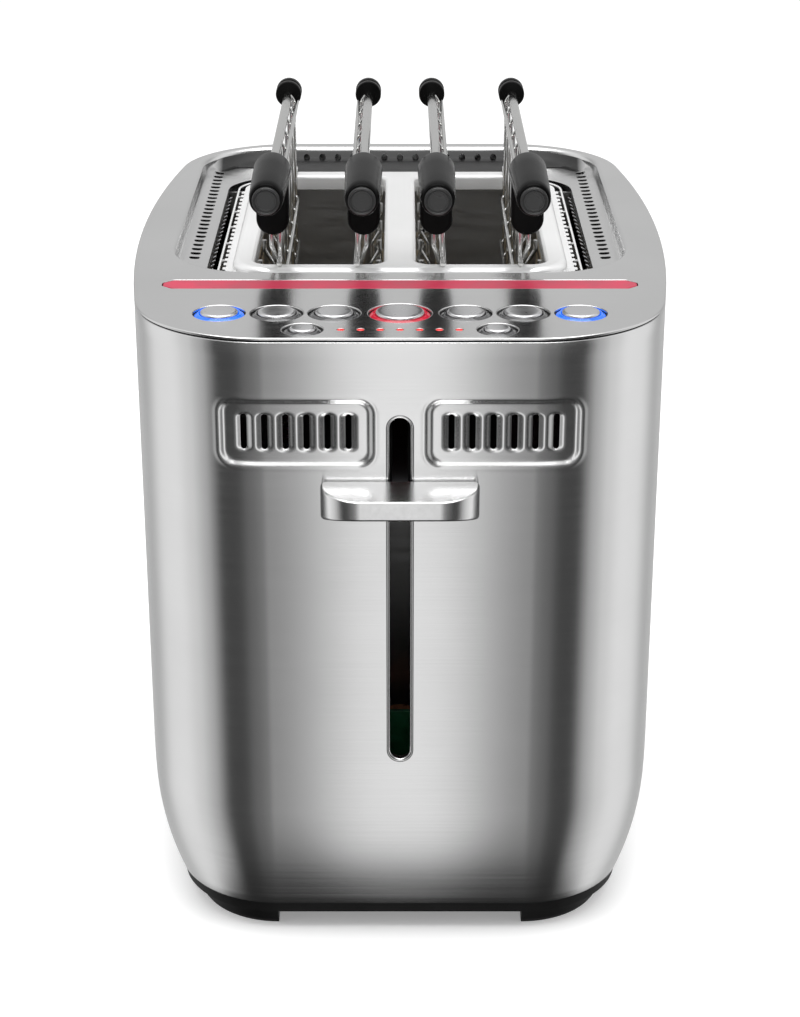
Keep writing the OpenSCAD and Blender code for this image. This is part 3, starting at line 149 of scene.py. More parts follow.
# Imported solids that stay, by finish, and the bevel on their edges
KEPT = {
    "base_black": ("base_plate", "feet", "tray_grip"), "pad_rubber": ("foot_pads",),
    "screw_steel": ("foot_screws", "board_screws"), "tray_steel": ("crumb_tray",),
    "chassis_steel": ("front_chassis", "rear_chassis", "side_liners", "armature"),
    "mica": ("mica_boards",), "ribbon": ("heater_ribbons",), "shaft_steel": ("guide_shafts", "lifters"),
    "carriage_black": ("carriage",), "coil_copper": ("latch_magnet",),
    "board_green": ("main_board", "control_board"), "part_dark": ("board_parts", "tact_switches"),
    "cage_wire": ("left_hinge_pin", "right_hinge_pin"),
}
SOFT_EDGE = 0.2
# Camera, in metres and degrees
CAMERA_PLACE, CAMERA_PITCH, CAMERA_LENS, CAMERA_SENSOR = (0.0, -0.78585, 0.4411), 22.6, 79.65, 36.0
# Half the floor's side, in metres
FLOOR_HALF = 6.0
# Brightness of the studio's walls from the front (0) round to the back (1), for both sides
WALL_BANDS = [
    (0.0, 1.0), (0.022, 0.98), (0.04, 0.74), (0.056, 0.45), (0.071, 0.28), (0.10, 0.20), (0.15, 0.15),
    (0.228, 0.06), (0.315, 0.05), (0.34, 0.20), (0.387, 0.48), (0.47, 0.74), (0.56, 0.92), (0.66, 0.9),
    (0.79, 0.5), (0.9, 0.62), (1.0, 0.66)]


# Outlines: points and the material's outward normals, in a plane

def angles(a0, a1, n):
    """Angles from a0 to a1 degrees in n steps, in radians."""
    return np.radians(np.linspace(a0, a1, n + 1))


def arc(cx, cy, r, a0, a1, n):
    a = angles(a0, a1, n)
    normal = np.stack([np.cos(a), np.sin(a)], 1)
    return np.array([cx, cy]) + r * normal, normal


def joined(*parts):
    points, normals = np.concatenate([p for p, _ in parts]), np.concatenate([n for _, n in parts])
    keep = np.linalg.norm(points - np.roll(points, 1, 0), axis=1) > 1e-5
    return points[keep], normals[keep]


def rounded(cx, cy, w, h, r, n=8):
    """Rectangle with round corners."""
    x, y = w / 2 - r, h / 2 - r
    return joined(arc(cx + x, cy + y, r, 0, 90, n), arc(cx - x, cy + y, r, 90, 180, n),
                  arc(cx - x, cy - y, r, 180, 270, n), arc(cx + x, cy - y, r, 270, 360, n))


def disc(cx, cy, d, n=48):
    return joined(arc(cx, cy, d / 2, 0, 360, n))


def soft_polygon(corners, r, n=4):
    """Convex polygon, counter-clockwise, with its corners rounded to radius r."""
    parts = []
    c = [np.array(p, float) for p in corners]
    for i, b in enumerate(c):
        d1, d2 = unit(c[i - 1] - b), unit(c[(i + 1) % len(c)] - b)
        half = acos(np.clip(d1 @ d2, -1, 1)) / 2
        middle = b + unit(d1 + d2) * r / sin(half)
        a0 = degrees(atan2(d1[0], -d1[1]))
        turn = 180 - 2 * degrees(half)
        parts.append(arc(*middle, r, a0, a0 + turn, n))
    return joined(*parts)


def hole(outline):
    return outline[0], -outline[1]


def drawn_in(outline, inset):
    return outline[0] - np.reshape(inset, (-1, 1)) * outline[1]


def unit(v):
    return v / np.linalg.norm(v)


def spread(count, pitch):
    """Places of a centred row."""
    return [(i - (count - 1) / 2) * pitch for i in range(count)]


def level(p, z):
    return p[0], p[1], z


def facing(p, d):
    """Place of a sheet that stands across Y."""
    return p[0], d, p[1]


# Meshes

DOME = [(0.3, 0.96), (0.71, 0.71), (0.95, 0.32)]


class Shape:
    """Vertices and faces of a piece, in millimetres from the front face."""

    def __init__(self):
        self.points, self.faces = [], []

    def add(self, points):
        start = len(self.points)
        self.points.extend(tuple(float(c) for c in p) for p in points)
        return list(range(start, len(self.points)))

    def bridge(self, a, b, closed=True):
        n = len(a)
        for i in range(n if closed else n - 1):
            j = (i + 1) % n
            self.faces.append((a[i], a[j], b[j], b[i]))

    def chain(self, rings):
        """Faces between each ring and the next."""
        for a, b in zip(rings, rings[1:]):
            self.bridge(a, b)

    def loop(self, rings):
        """Faces between each ring and the next, and from the last ring to the first."""
        for i, ring in enumerate(rings):
            self.bridge(rings[i - 1], ring)

    def fan(self, ring, point):
        (tip,) = self.add([point])
        for i in range(len(ring)):
            self.faces.append((ring[i], ring[(i + 1) % len(ring)], tip))

    def fill(self, loops):
        """Flat faces between closed loops, the outer one first. A loop is (indices, plane points)."""
        flat, indices, bounds = [], [], []
        for ring, plane in loops:
            turn = list(range(len(flat), len(flat) + len(ring)))
            bounds.append(turn[::-1] if bounds else turn)
            flat.extend(Vector((float(p[0]), float(p[1]))) for p in plane)
            indices.extend(ring)
        out = delaunay_2d_cdt(flat, [], bounds, 2, 1e-6)
        for face in out[2]:
            self.faces.append(tuple(indices[out[3][v][0]] for v in face))

    def edges(self, loops, place=level):
        """Closed edges, each an outline and its (inset, height) points. Returns the loops at both ends."""
        first, last = [], []
        for outline, profile in loops:
            rings = []
            for inset, z in profile:
                plane = drawn_in(outline, inset)
                rings.append((self.add([place(p, z) for p in plane]), plane))
            self.chain([ring for ring, _ in rings])
            first.append(rings[0])
            last.append(rings[-1])
        return first, last

    def sheet(self, loops, place=level):
        """Sheet between closed edges, whose points run from the lower face to the upper one."""
        for face in self.edges(loops, place):
            self.fill(face)

    def slab(self, loops, z0, z1, place=level, steps=4, guard=0.12):
        """Flat sheet from z0 to z1. Each loop is (outline, top edge radius, lower edge radius)."""
        self.sheet([(outline, round_edge(z0, z1, top, low, steps, guard)) for outline, top, low in loops],
                   place)

    def ring(self, r, h, place, n):
        a = np.linspace(0, 2 * pi, n, endpoint=False)
        return self.add([place(r * cos(t), r * sin(t), h) for t in a])

    def lathe(self, profile, place, n):
        """Turned piece from (radius, height) points; a radius of 0 closes an end."""
        last = None
        for r, h in profile:
            if r == 0:
                if last is None:
                    last = ("tip", place(0.0, 0.0, h))
                else:
                    self.fan(last, place(0.0, 0.0, h))
                    last = None
                continue
            ring = self.ring(r, h, place, n)
            if isinstance(last, tuple):
                self.fan(ring, last[1])
            elif last is not None:
                self.bridge(last, ring)
            last = ring

    def loop_lathe(self, profile, place, n):
        """Turned ring with a closed profile."""
        self.loop([self.ring(r, h, place, n) for r, h in profile])

    def tube(self, path, r, n=12, closed=False):
        """Round wire along a path, with domed ends."""
        path = [np.array(p, float) for p in path]
        count = len(path)
        radii = [r] * count
        if not closed:
            first, last = unit(path[1] - path[0]), unit(path[-1] - path[-2])
            head = [path[0] + first * r * (1 - s) for s, _ in DOME]
            tail = [path[-1] - last * r * (1 - s) for s, _ in reversed(DOME)]
            path = head + [path[0] + first * r] + path[1:-1] + [path[-1] - last * r] + tail
            radii = [r * c for _, c in reversed(DOME)] + [r] * count + [r * c for _, c in DOME]
            ends = (path[0] - first * 0.3 * r, path[-1] + last * 0.3 * r)
        rings, side = [], None
        for i, p in enumerate(path):
            a = path[i - 1] if i or closed else p
            b = path[(i + 1) % len(path)] if i < len(path) - 1 or closed else p
            along = unit(b - a)
            if side is None:
                side = np.cross(along, (0.0, 0.0, 1.0))
                if np.linalg.norm(side) < 1e-3:
                    side = np.cross(along, (0.0, 1.0, 0.0))
            side = unit(side - along * (side @ along))
            up = np.cross(along, side)
            turn = np.linspace(0, 2 * pi, n, endpoint=False)
            rings.append(self.add([p + radii[i] * (cos(t) * side + sin(t) * up) for t in turn]))
        self.chain(rings)
        if closed:
            self.bridge(rings[-1], rings[0])
        else:
            self.fan(rings[0], ends[0])
            self.fan(rings[-1], ends[1])


def round_edge(z0, z1, top, low, steps, guard):
    """Edge of a sheet as (inset, height) points, with its corners rounded."""
    profile = []
    if low > 0:
        profile.append((low + guard, z0))
        turns = angles(0, 90, steps)
        profile += [(low * (1 - sin(t)), z0 + low * (1 - cos(t))) for t in turns]
    else:
        profile.append((0, z0))
    if top > 0:
        turns = angles(90, 0, steps)
        profile += [(top * (1 - sin(t)), z1 - top * (1 - cos(t))) for t in turns]
        profile.append((top + guard, z1))
    else:
        profile.append((0, z1))
    return profile


def bent(corners, r, n=6):
    """Path through the corners with bends of radius r."""
    c = [np.array(p, float) for p in corners]
    path = [c[0]]
    for before, b, after in zip(c, c[1:], c[2:]):
        d1, d2 = unit(before - b), unit(after - b)
        half = acos(np.clip(d1 @ d2, -1, 1)) / 2
        room = 0.49 * min(np.linalg.norm(before - b), np.linalg.norm(after - b))
        back = min(r / tan(half), room)
        radius = back * tan(half)
        middle = b + unit(d1 + d2) * radius / sin(half)
        u, w = unit(b + d1 * back - middle), unit(b + d2 * back - middle)
        side = unit(w - u * (u @ w))
        turns = np.linspace(0, acos(np.clip(u @ w, -1, 1)), n + 1)
        path += [middle + radius * (cos(t) * u + sin(t) * side) for t in turns]
    return path + [c[-1]]


def along_y(x, z):
    """Place of a turned piece whose axis runs along Y."""
    return lambda u, v, h: (x + u, h, z + v)


def upright(x, y):
    return lambda u, v, h: (x + u, y + v, h)


def placed(name, data):
    obj = bpy.data.objects.new(name, data)
    bpy.context.scene.collection.objects.link(obj)
    return obj


def to_mesh(name, shape, sharp=SHARP):
    mesh = bpy.data.meshes.new(name)
    points = (np.array(shape.points) + np.array([0.0, FRONT, 0.0])) * MM
    mesh.from_pydata(points.tolist(), [], shape.faces)
    obj = placed(name, mesh)
    finish_mesh(obj, sharp)
    return obj


def finish_mesh(obj, sharp):
    """Closes seams, turns faces outward, and shades smooth up to an edge angle."""
    bm = bmesh.new()
    bm.from_mesh(obj.data)
    bmesh.ops.remove_doubles(bm, verts=bm.verts, dist=WELD)
    bmesh.ops.dissolve_degenerate(bm, edges=bm.edges, dist=WELD)
    bmesh.ops.recalc_face_normals(bm, faces=bm.faces)
    limit = radians(sharp)
    for face in bm.faces:
        face.smooth = True
    for edge in bm.edges:
        edge.smooth = len(edge.link_faces) == 2 and edge.calc_face_angle(0.0) < limit
    bm.to_mesh(obj.data)
    bm.free()


def cut(obj, shape, sharp=SHARP):
    """Takes the shape's volume out of a piece."""
    tool = to_mesh(obj.name + "_cut", shape)
    mod = obj.modifiers.new("cut", "BOOLEAN")
    mod.operation, mod.solver, mod.object = "DIFFERENCE", "EXACT", tool
    bpy.context.view_layer.update()
    done = bpy.data.meshes.new_from_object(obj.evaluated_get(bpy.context.evaluated_depsgraph_get()))
    obj.modifiers.clear()
    obj.data = done
    bpy.data.objects.remove(tool)
    finish_mesh(obj, sharp)


def piece(obj, body, slot, *nodes, finish=None):
    """Sets a finished mesh on its body, in place of the nodes that it stands for."""
    obj.data.materials.clear()
    obj.data.materials.append(finish or MAT[slot])
    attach(obj, body)
    if nodes:
        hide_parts(*nodes)


# Materials

def three(value):
    """A grey, or a scale that is the same along X, Y and Z."""
    return (value, value, value)


def new_material(name):
    m = bpy.data.materials.new(name)
    m.use_nodes = True
    m.node_tree.nodes.clear()
    out = m.node_tree.nodes.new("ShaderNodeOutputMaterial")
    bsdf = m.node_tree.nodes.new("ShaderNodeBsdfPrincipled")
    m.node_tree.links.new(bsdf.outputs[0], out.inputs[0])
    return m, bsdf, m.node_tree.links.new


def give(node, values):
    """Sets a node's sockets to constant values."""
    for name, value in values.items():
        node.inputs[name].default_value = value


def noise(m, scale, detail=3.0, roughness=0.55, distortion=0.0):
    """Noise in the object's own coordinates; scale is cycles per metre along X, Y and Z."""
    nodes, links = m.node_tree.nodes, m.node_tree.links
    where = nodes.new("ShaderNodeTexCoord")
    stretch = nodes.new("ShaderNodeMapping")
    stretch.inputs["Scale"].default_value = scale
    n = nodes.new("ShaderNodeTexNoise")
    give(n, {"Scale": 1.0, "Detail": detail, "Roughness": roughness, "Distortion": distortion})
    links.new(where.outputs["Object"], stretch.inputs[0])
    links.new(stretch.outputs[0], n.inputs["Vector"])
    return n.outputs["Fac"]


def between(m, value, low, high, start=0.3, end=0.7):
    """Value from start to end, mapped to low to high."""
    n = m.node_tree.nodes.new("ShaderNodeMapRange")
    give(n, {1: start, 2: end, 3: low, 4: high})
    m.node_tree.links.new(value, n.inputs[0])
    return n.outputs[0]


def two_tone(m, value, a, b, start=0.3, end=0.7):
    n = m.node_tree.nodes.new("ShaderNodeValToRGB")
    for stop, at, colour in zip(n.color_ramp.elements, (start, end), (a, b)):
        stop.position, stop.color = at, (*colour, 1)
    m.node_tree.links.new(value, n.inputs[0])
    return n.outputs[0]


def bump(m, value, strength, distance, below=None):
    n = m.node_tree.nodes.new("ShaderNodeBump")
    give(n, {"Strength": strength, "Distance": distance})
    m.node_tree.links.new(value, n.inputs["Height"])
    if below is not None:
        m.node_tree.links.new(below, n.inputs["Normal"])
    return n.outputs[0]


def maths(m, operation, a, b=None):
    """Output of a math node; b is a number or a socket, where it is needed."""
    n = m.node_tree.nodes.new("ShaderNodeMath")
    n.operation = operation
    m.node_tree.links.new(a, n.inputs[0])
    if isinstance(b, float):
        n.inputs[1].default_value = b
    elif b is not None:
        m.node_tree.links.new(b, n.inputs[1])
    return n.outputs[0]


def parted(m, kind):
    """X, Y and Z of a kind of coordinates."""
    nodes = m.node_tree.nodes
    where, parts = nodes.new("ShaderNodeTexCoord"), nodes.new("ShaderNodeSeparateXYZ")
    m.node_tree.links.new(where.outputs[kind], parts.inputs[0])
    return parts.outputs


def crown(m, share):
    """Normal of a face that bulges slightly across X, by a share of the distance from the middle plane."""
    nodes, link = m.node_tree.nodes, m.node_tree.links.new
    lean, face = nodes.new("ShaderNodeCombineXYZ"), nodes.new("ShaderNodeNewGeometry")
    both, length = nodes.new("ShaderNodeVectorMath"), nodes.new("ShaderNodeVectorMath")
    both.operation, length.operation = "ADD", "NORMALIZE"
    link(maths(m, "MULTIPLY", parted(m, "Object")[0], share), lean.inputs[0])
    link(face.outputs["Normal"], both.inputs[0])
    link(lean.outputs[0], both.inputs[1])
    link(both.outputs[0], length.inputs[0])
    return length.outputs[0]


def metal(name, colour, rough, grain, depth=0.04, vary=0.06, anisotropy=0.0, metallic=1.0):
    """Brushed or polished metal; grain is the brushing's cycles per metre along X, Y and Z."""
    m, b, link = new_material(name)
    lines = noise(m, grain, 2.0)
    cloud = noise(m, three(22.0))
    dark = tuple(0.95 * c for c in colour)
    link(two_tone(m, cloud, dark, colour), b.inputs["Base Color"])
    link(between(m, lines, max(rough - vary, 0.04), rough + vary), b.inputs["Roughness"])
    link(bump(m, lines, depth, 0.0004, crown(m, 2.0) if anisotropy else None), b.inputs["Normal"])
    b.inputs["Metallic"].default_value = metallic
    if anisotropy:
        give(b, {"Anisotropic": anisotropy, "Anisotropic Rotation": 0.25})
        t = m.node_tree.nodes.new("ShaderNodeTangent")
        t.direction_type, t.axis = "RADIAL", "Z"
        link(t.outputs[0], b.inputs["Tangent"])
    return m


def plastic(name, colour, rough, grain=900.0, depth=0.06, vary=0.08, coat=0.0, shine=0.25):
    """Moulded plastic with a fine grain."""
    m, b, link = new_material(name)
    fine = noise(m, three(grain), 2.0)
    cloud = noise(m, three(60.0))
    light = tuple(min(1.0, 1.25 * c + 0.004) for c in colour)
    link(two_tone(m, cloud, colour, light), b.inputs["Base Color"])
    link(between(m, cloud, rough - vary, rough + vary), b.inputs["Roughness"])
    link(bump(m, fine, depth, 0.0003), b.inputs["Normal"])
    give(b, {"Coat Weight": coat, "Specular IOR Level": shine})
    return m


def lit(name, colour, glow, strength, rough=0.25, coat=0.1):
    """Lit lens: a clear coloured plastic with a cloudy glow from below."""
    m, b, link = new_material(name)
    cloud = noise(m, three(120.0), 2.0)
    dark = tuple(0.75 * c for c in colour)
    link(two_tone(m, cloud, dark, colour), b.inputs["Base Color"])
    link(two_tone(m, cloud, tuple(0.8 * c for c in glow), glow), b.inputs["Emission Color"])
    link(between(m, cloud, rough - 0.06, rough + 0.06), b.inputs["Roughness"])
    give(b, {"Emission Strength": strength, "Coat Weight": coat})
    return m


def mottled(name, a, b_colour, rough, scale, metallic=0.0, depth=0.1):
    """Two-toned sheet such as mica, a circuit board or a burnt coil."""
    m, b, link = new_material(name)
    patch = noise(m, three(scale), 5.0, 0.65, 0.4)
    link(two_tone(m, patch, a, b_colour), b.inputs["Base Color"])
    link(between(m, patch, rough - 0.1, rough + 0.1), b.inputs["Roughness"])
    link(bump(m, patch, depth, 0.0004), b.inputs["Normal"])
    b.inputs["Metallic"].default_value = metallic
    return m


def painted_back_shade(name):
    """Painted shade: black that turns into bare steel towards the sheet's ends."""
    m, b, link = new_material(name)
    far = maths(m, "ABSOLUTE", parted(m, "Object")[0])
    bare = between(m, far, 0.0, 1.0, (BACK_SHADE_X - BACK_SHADE_FADE) * MM, BACK_SHADE_X * MM)
    # Black in the middle is painted shade, turning to the steel's colour at the ends
    link(two_tone(m, bare, three(0.006), three(0.80), 0.3, 1.0), b.inputs["Base Color"])
    link(between(m, bare, 0.0, 1.0, 0.5, 1.0), b.inputs["Metallic"])
    link(between(m, bare, 0.5, 0.19, 0.0, 1.0), b.inputs["Roughness"])
    link(bump(m, noise(m, three(900.0), 2.0), 0.05, 0.0003), b.inputs["Normal"])
    return m


FINISHES = {
    "steel_skin": (metal, three(0.87), 0.23, (9.0, 9.0, 2600.0), 0.018, 0.03, 0.9),
    "cover_steel": (metal, three(0.80), 0.19, (10.0, 1400.0, 1400.0), 0.004, 0.02),
    "plate_steel": (metal, three(0.97), 0.18, (900.0, 12.0, 900.0), 0.01, 0.04, 0.0, 0.45),
    "red_bar": (lit, (0.38, 0.018, 0.05), (0.60, 0.03, 0.085), 0.32, 0.4),
    "lamp_red": (lit, (0.55, 0.01, 0.01), (1.0, 0.06, 0.05), 0.7),
    "ring_blue": (lit, (0.01, 0.10, 0.6), (0.01, 0.17, 0.95), 0.75, 0.15, 0.6),
    "ring_red": (lit, (0.40, 0.012, 0.03), (0.65, 0.02, 0.05), 0.4, 0.15, 0.6),
    "ring_grey": (plastic, (0.05, 0.05, 0.052), 0.18, 700.0, 0.01, 0.04, 0.9, 0.5),
    "button_silver": (metal, (0.74, 0.74, 0.75), 0.30, three(300.0), 0.002, 0.03),
    "board_green": (mottled, (0.008, 0.09, 0.03), (0.02, 0.17, 0.07), 0.4, 180.0),
    "part_dark": (plastic, (0.03, 0.03, 0.034), 0.42),
    # Black for the sheets of painted shade below the panel's gaps and in the seam
    "well_black": (plastic, three(0.006), 0.5),
    "screw_steel": (metal, three(0.5), 0.34, three(900.0)),
    "base_black": (plastic, three(0.004), 0.45, 1100.0, 0.08, 0.06, 0.0, 0.15),
    "pad_rubber": (plastic, three(0.02), 0.8, 600.0, 0.15),
    "tray_steel": (metal, (0.30, 0.30, 0.31), 0.36, (12.0, 800.0, 800.0), 0.04, 0.06),
    "chassis_steel": (metal, three(0.42), 0.42, (60.0, 60.0, 500.0), 0.06, 0.08),
    "mica": (mottled, (0.34, 0.27, 0.18), (0.58, 0.50, 0.37), 0.45, 90.0),
    "ribbon": (mottled, (0.10, 0.07, 0.055), (0.26, 0.21, 0.18), 0.4, 200.0, 1.0),
    "guide_wire": (metal, (0.62, 0.62, 0.61), 0.20, three(500.0), 0.03, 0.06),
    "shaft_steel": (metal, three(0.6), 0.16, (900.0, 900.0, 60.0), 0.02, 0.04),
    "carriage_black": (plastic, (0.014, 0.014, 0.015), 0.45),
    "knob_silver": (metal, three(0.93), 0.24, three(500.0), 0.002, 0.02),
    "spring_steel": (metal, (0.45, 0.45, 0.46), 0.28, three(700.0)),
    "coil_copper": (mottled, (0.35, 0.13, 0.05), (0.62, 0.27, 0.13), 0.35, 300.0, 1.0),
    "cage_wire": (metal, (0.70, 0.70, 0.69), 0.14, three(400.0), 0.02, 0.05),
    "plug_black": (plastic, three(0.022), 0.3, 800.0, 0.04, 0.06, 0.0, 0.5),
    "grip_black": (plastic, three(0.003), 0.22, 800.0, 0.04, 0.04, 0.0, 0.04),
}
MAT = {name: make(name, *values) for name, (make, *values) in FINISHES.items()}


# Body skin

def body_outline():
    """Outline with fine steps where the front vents are."""
    half = np.concatenate([np.arange(0.0, 7.0, 1.4), np.linspace(7.0, CORNER_CX, 80)])
    x = np.concatenate([-half[:0:-1], half])
    front = np.stack([x, np.zeros_like(x)], 1), np.tile([0.0, -1.0], (len(x), 1))
    turn, near, far, plain = 32, 44, 18, 24
    rear = BODY_L - CORNER_R
    return joined(
        front,
        arc(CORNER_CX, CORNER_R, CORNER_R, -90, turn - 90, near),
        arc(CORNER_CX, CORNER_R, CORNER_R, turn - 90, -SIDE_A, far),
        arc(SIDE_CX, MID_Y, SIDE_R, -SIDE_A, SIDE_A, plain),
        arc(CORNER_CX, rear, CORNER_R, SIDE_A, 90, plain),
        arc(-CORNER_CX, rear, CORNER_R, 90, 180 - SIDE_A, plain),
        arc(-SIDE_CX, MID_Y, SIDE_R, 180 - SIDE_A, 180 + SIDE_A, plain),
        arc(-CORNER_CX, CORNER_R, CORNER_R, 180 + SIDE_A, 270 - turn, far),
        arc(-CORNER_CX, CORNER_R, CORNER_R, 270 - turn, 270, near),
    )


def smooth_step(x, low, high):
    t = np.clip((x - low) / (high - low), 0, 1)
    return t * t * (3 - 2 * t)


def box_distance(u, v, w, h, r):
    """Signed distance from a rounded rectangle."""
    qx, qy = np.abs(u) - w / 2 + r, np.abs(v) - h / 2 + r
    return np.hypot(np.maximum(qx, 0), np.maximum(qy, 0)) + np.minimum(np.maximum(qx, qy), 0) - r


def pad_place(points, z):
    """Where points at height z lie across their vent pad, and their distance from its edge."""
    u = np.abs(points[:, 0]) - VENT_X
    v = np.full_like(u, z - VENT_Z)
    return u, v, box_distance(u, v, VENT_W, VENT_H, VENT_R)


def front_share(normals):
    """1 on the front face, falling to 0 around the corners."""
    return smooth_step(-normals[:, 1], 0.2, 0.4)


def stamping(points, normals, z):
    """How deep the front is pressed in at height z: sunk pads, and slits drawn in further."""
    u, v, edge = pad_place(points, z)
    bead = PAD_BEAD * np.exp(-((edge - PAD_BEAD_AT) / PAD_BEAD_W) ** 2)
    depth = VENT_SINK * smooth_step(-edge, -0.2, 2.0) - bead
    along = 1.7 * np.maximum(np.abs(v) - (SLIT_H - SLIT_W) / 2, 0)
    for x in spread(SLITS, SLIT_PITCH):
        lip = np.hypot(u - x, along) - SLIT_W / 2
        depth = depth + SLIT_DRAW * (1 - smooth_step(lip, -0.4, 2.1))
    return depth * front_share(normals)


def curve_inset(z):
    drop = np.maximum(CURVE_Z - z, 0)
    return CURVE_R - sqrt(CURVE_R ** 2 - drop ** 2)


def make_body():
    points, normals = body_outline()
    lowest = curve_inset(SKIN_Z)
    rim = ((0.55, 0.45), (0.65, 0.15), (0.9, 0.0), (6, 0.0), (14, 0.0))
    reach = VENT_H / 2 + 2.8
    rows = [(SEAM - drop, inset) for drop, inset in rim]
    rows += [(z, 0.0) for z in np.linspace(VENT_Z + reach, VENT_Z - reach, 62)]
    rows += [(z, 0.0) for z in (168, 150, 130, 110, 90, 72, CURVE_Z)]
    rows += [(z, curve_inset(z)) for z in np.linspace(CURVE_Z, SKIN_Z + 0.5, 13)[1:]]
    rows += [(SKIN_Z + 0.1, lowest + 0.15), (SKIN_Z, lowest + 0.45)]
    s = Shape()
    rings = []
    for z, inset in rows:
        plane = points - (inset + stamping(points, normals, z))[:, None] * normals
        rings.append(s.add([(x, y, z) for x, y in plane]))
    for z, inset in reversed(rows):
        depth = VENT_SINK * smooth_step(-pad_place(points, z)[2], -1.0, 1.0) * front_share(normals)
        inner = min(inset, lowest) if z <= CURVE_Z else 0.0
        plane = points - (inner + SKIN_T + depth)[:, None] * normals
        rings.append(s.add([(x, y, z) for x, y in plane]))
    s.loop(rings)
    obj = to_mesh("body_skin", s, 50)

    c = Shape()
    for side in (-1, 1):
        for x in spread(SLITS, SLIT_PITCH):
            slit = rounded(side * VENT_X + x, VENT_Z, SLIT_W, SLIT_H, SLIT_W / 2 - 0.001)
            c.slab([(slit, 0, 0)], -4, 40, facing)
    track = rounded(0, TRACK_CZ, TRACK_W + 0.8, TRACK_H + 0.8, TRACK_W / 2 + 0.399, 12)
    c.slab([(track, 0, 0)], -4, 6, facing)
    mouth = rounded(0, MOUTH_Z, MOUTH_W, MOUTH_H, MOUTH_R)
    c.slab([(mouth, 0, 0)], BODY_L - CORNER_R, BODY_L + 4, facing)
    c.slab([(disc(INLET_X, INLET_Z, INLET_D), 0, 0)], BODY_L - 5, BODY_L + 5, facing)
    cut(obj, c, 45)
    return obj


def track_rim():
    """Rolled edge of the lever's track."""
    s = Shape()
    outline = rounded(0, TRACK_CZ, TRACK_W, TRACK_H, TRACK_W / 2 - 0.001, 14)
    profile = [(-0.3, 0.3), (-0.28, 0.0), (-0.1, -0.1), (0.25, -0.04), (0.6, 0.2), (0.8, 0.6),
               (0.8, 2.4), (0.5, 2.4), (0.4, 0.8), (0.0, 0.45)]
    s.loop([s.add([facing(p, d) for p in drawn_in(outline, inset)]) for inset, d in profile])
    return to_mesh("track_rim", s, 50)


# Top cover

def bar_corners(edge):
    """Corners of the light bar, grown by an edge."""
    half, low, high = BAR_L / 2 + edge, BAR_Y - edge, BAR_Y + BAR_W + edge
    end, step = half - BAR_TAPER, (high - low) / 3
    return [(-end, low), (end, low), (half, low + step), (half, high - step),
            (end, high), (-end, high), (-half, high - step), (-half, low + step)]


def recess_outline():
    return hole(rounded(0, RECESS_CY, RECESS_W, RECESS_L, RECESS_R, 24))


def band_y(i):
    return BAND_Y0 + i * BAND_PITCH


def make_cover():
    """Pressed sheet: panel with its holes, rolled edge, sloping recess sides and floor around the plate."""
    s = Shape()
    recess = recess_outline()
    cove = COVE_FRONT + (COVE_SIDE - COVE_FRONT) * recess[1][:, 0] ** 2
    roll_z = COVER_Z - ROLL_R
    turns = angles(0, 90, 6)
    top = [(ROLL_R * (1 - sin(t)), roll_z + ROLL_R * cos(t)) for t in turns]
    top += [(-cove * (1 - cos(t)), roll_z - (roll_z - RECESS_Z) * sin(t)) for t in turns[1:]]
    under = [(inset + 0.3, z - PRESSED_T) for inset, z in top[::-1]]

    def panel_hole(outline, r, steps, guard):
        return hole(outline), round_edge(SEAM, COVER_Z, r, 0, steps, guard)

    panel = [(body_outline(), round_edge(SEAM, COVER_Z, 0.5, 0.15, 5, 0.1))]
    panel += [panel_hole(disc(x, y, d, 64), 0.3, 4, 0.1) for _, x, y, d in BUTTONS]
    panel += [panel_hole(disc(x, LAMP_Y, LAMP_D + 0.3, 24), 0.12, 3, 0.05) for x in spread(LAMPS, LAMP_PITCH)]
    panel += [panel_hole(soft_polygon(bar_corners(0.35), 1.8), 0.2, 3, 0.08)]
    opening = rounded(0, (OPEN_Y0 + OPEN_Y1) / 2, OPEN_W, OPEN_Y1 - OPEN_Y0, OPEN_R, 16)
    floor = [(hole(opening), round_edge(RECESS_Z - PRESSED_T, RECESS_Z, 0.2, 0, 3, 0.05))]
    top_rim, top_foot = s.edges([(recess, top)])
    under_foot, under_rim = s.edges([(recess, under)])
    panel_low, panel_top = s.edges(panel)
    floor_low, floor_top = s.edges(floor)
    for loops in (panel_top + top_rim, panel_low + under_rim, top_foot + floor_top, under_foot + floor_low):
        s.fill(loops)
    obj = to_mesh("cover_panel", s)

    c = back_holes()
    for side in (-1, 1):
        for i in range(BAND_SLITS):
            slit = rounded(side * BAND_X, band_y(i), BAND_SLIT_W, BAND_SLIT_L, BAND_SLIT_R, 4)
            c.slab([(slit, 0, 0)], RECESS_Z - 3, RECESS_Z + 3)
    cut(obj, c)
    return obj


def back_holes():
    """Row of holes through the recess's back wall."""
    c = Shape()
    for x in spread(BACK_HOLES, BACK_PITCH):
        c.slab([(disc(x, BACK_Z, BACK_D, 20), 0, 0)], RECESS_BACK - 5, RECESS_BACK + 3, facing)
    return c


